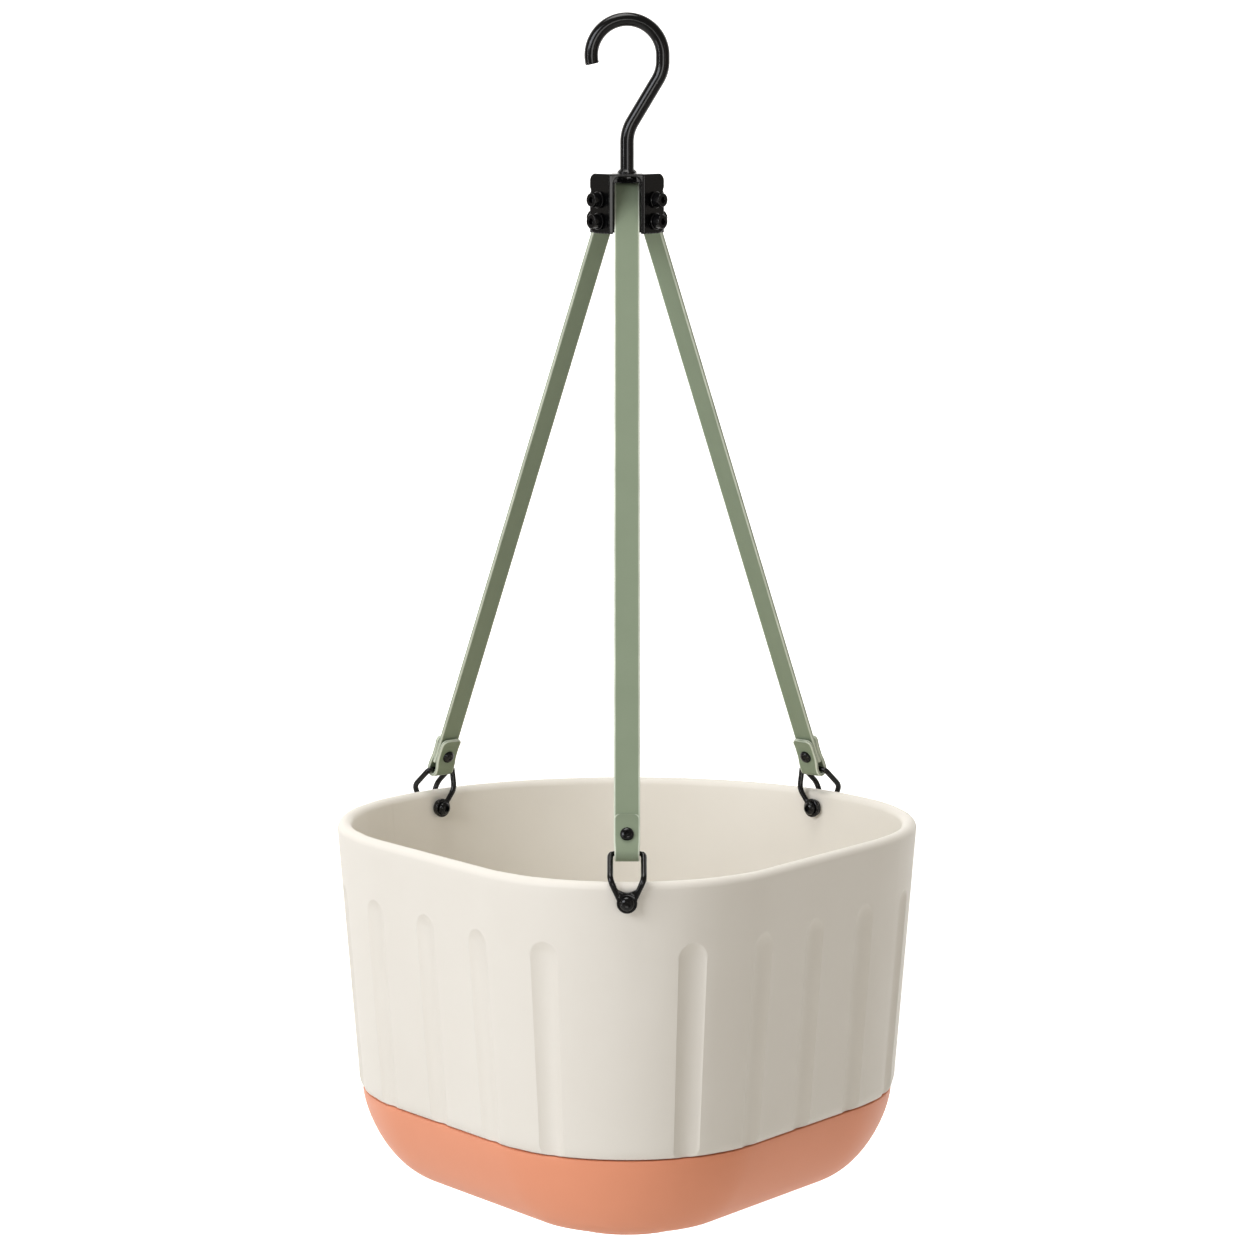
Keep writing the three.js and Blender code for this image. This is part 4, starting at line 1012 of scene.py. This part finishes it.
def cap_head(seat, shank_l, ease=0.0004):
    """Socket cap screw: shank, round head with an eased rim, and a deep hexagon socket."""
    top = seat + CAP_H
    a = np.linspace(0, math.pi / 2, 6)
    rim = np.stack([CAP_R - ease * (1 - np.cos(a)), top - ease * (1 - np.sin(a)), np.zeros(6)], -1)
    end = seat - shank_l
    return np.concatenate([
        [[0, end, 0], [CAP_SHANK_R, end, 0], [CAP_SHANK_R, seat, 0],
         [CAP_R - ease / 2, seat, 0], [CAP_R, seat + ease / 2, 0]], rim,
        [[CAP_SOCKET * 1.14, top, 0.7], [CAP_SOCKET, top - 0.00015, 1],
         [CAP_SOCKET, top - CAP_SOCKET_DEEP, 1], [0, top - CAP_SOCKET_DEEP - ease, 0]]])


def ear_place(side, drop):
    """A function that carries points from an ear screw's own frame to the bracket."""
    c, s = math.cos(side * EAR_TURN), math.sin(side * EAR_TURN)
    turn = np.array([[c, -s, 0], [s, c, 0], [0, 0, 1]])
    along = EAR_W / 2 - SCREW_IN
    middle = np.array([side * (CHANNEL_X + math.cos(EAR_TURN) * along),
                       ARCH_Y + SHEET_T + math.sin(EAR_TURN) * along, BRACKET_TOP - drop])
    return lambda points: points @ turn.T + middle


washer_low = SHEET_T + GAP
washer_high = washer_low + EAR_WASHER_T
ear_washer = washer_grid(*EAR_WASHER, washer_low, washer_high, 0.0002)
ear_screw = turned(cap_head(washer_high + GAP, EAR_SHANK_L), 60, CAP_SOCKET)
ears = [(side, drop) for side in (-1, 1) for drop in SCREW_DROPS]
for number, (side, drop) in enumerate(ears, 1):
    place = ear_place(side, drop)
    place_fitting(f"bracket_washer_{number}_ring", ear_washer, place, black, "basket",
                  f"bracket_washer_{number}")
    place_fitting(f"bracket_screw_{number}_cap", ear_screw, place, black, "basket",
                  f"bracket_screw_{number}")

REAR_SCREW_X = 0.0025
REAR_SHANK_L = 0.008
CLAMP_UP = (0.004, 0.015)
PLATE_T = 0.002
rear_screw = turned(cap_head(STRAP_T / 2 + GAP + PLATE_T + GAP, REAR_SHANK_L), 60, CAP_SOCKET)
for index, station in enumerate(stations[1:]):
    for order, up in enumerate(CLAMP_UP):
        number = index * 2 + order + 1
        grid = rear_screw + [-REAR_SCREW_X * station.leg_side, 0, station.length + up]
        place_fitting(f"rear_screw_{number}_cap", grid, station.from_strap, black, "basket",
                      f"rear_screw_{number}")

# --- Hook ---------------------------------------------------------------------------------
# One bent steel rod, powder coated: a round bend, a lean back to the axis and a shank that
# turns in a flanged bush. Its tip is cut square and eased.
ROD_R = 0.0035
BEND_R = 0.018
TIP_DEG = 193
SET_DEG = 31
HOOK_DROP = 0.003
SHANK_BEND_R = 0.020
SHANK_ROD_R = 0.0028
TIP_EASE = 0.0004
bend_z = ROD_R - BEND_R
lean_x = BEND_R * math.cos(math.radians(SET_DEG))
lean_z = bend_z - HOOK_DROP - BEND_R * math.sin(math.radians(SET_DEG))
shank_x = SHANK_BEND_R * (1 - math.cos(math.radians(SET_DEG)))
shank_z = (lean_z - (lean_x - shank_x) / math.tan(math.radians(SET_DEG))
           - SHANK_BEND_R * math.sin(math.radians(SET_DEG)))
hook_line = np.concatenate([
    arc((0, bend_z), BEND_R, TIP_DEG, 0, 90), arc((0, bend_z - HOOK_DROP), BEND_R, 0, -SET_DEG, 20),
    arc((SHANK_BEND_R, shank_z), SHANK_BEND_R, 180 - SET_DEG, 180, 20),
    [[0, z] for z in np.linspace(shank_z - 0.002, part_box("hook")[0].z, 12)]])
hook_path = np.stack([hook_line[:, 0], np.zeros(len(hook_line)), hook_line[:, 1]], -1)
hook_radii = np.full(len(hook_path), ROD_R)
hook_radii[hook_path[:, 2] < BRACKET_TOP - 0.001] = SHANK_ROD_R
hook_grid = pipe(hook_path, hook_radii, 40)
tip, tip_step = hook_path[0], hook_path[0] - hook_path[1]
tip_middle = tip + tip_step / np.linalg.norm(tip_step) * TIP_EASE
tip_ring = tip_middle + (hook_grid[0] - tip) * (1 - TIP_EASE / ROD_R)
hook = skin("hook_rod", capped(np.concatenate([tip_ring[None], hook_grid])), material=black)
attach(hook, "hook")
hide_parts("hook")


def upright(grid):
    """Turns a grid made about Y so that its outward direction is +Z."""
    return np.stack([grid[..., 0], grid[..., 2], -grid[..., 1]], -1)


BUSH_BORE_R = ROD_R + GAP
BUSH_R = 0.0043
FLANGE_R = 0.005
FLANGE_H = 0.0019
flange = np.array([
    [BUSH_BORE_R, -SHEET_T], [BUSH_R, -SHEET_T], [BUSH_R, GAP], [FLANGE_R, GAP],
    [FLANGE_R, 0.0008], [0.0044, 0.0014], [0.0039, FLANGE_H], [BUSH_BORE_R, FLANGE_H],
    [BUSH_BORE_R, -SHEET_T]]) + [0, BRACKET_TOP]
place_fitting("hook_bush_flange", upright(turned(flange, 56)), lambda grid: grid, black, "basket",
              "hook_bush")

# --- Inner fittings -----------------------------------------------------------------------
# The block, pin, rear plates, washer and nut keep their frame shapes and take their finishes.
for name, material in (("strap_block", nylon), ("strap_pin", black), ("rear_plate_left", black),
                       ("rear_plate_right", black), ("hook_washer", black), ("hook_nut", black)):
    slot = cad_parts[name].material_slots[0]
    slot.link = "OBJECT"
    slot.material = material
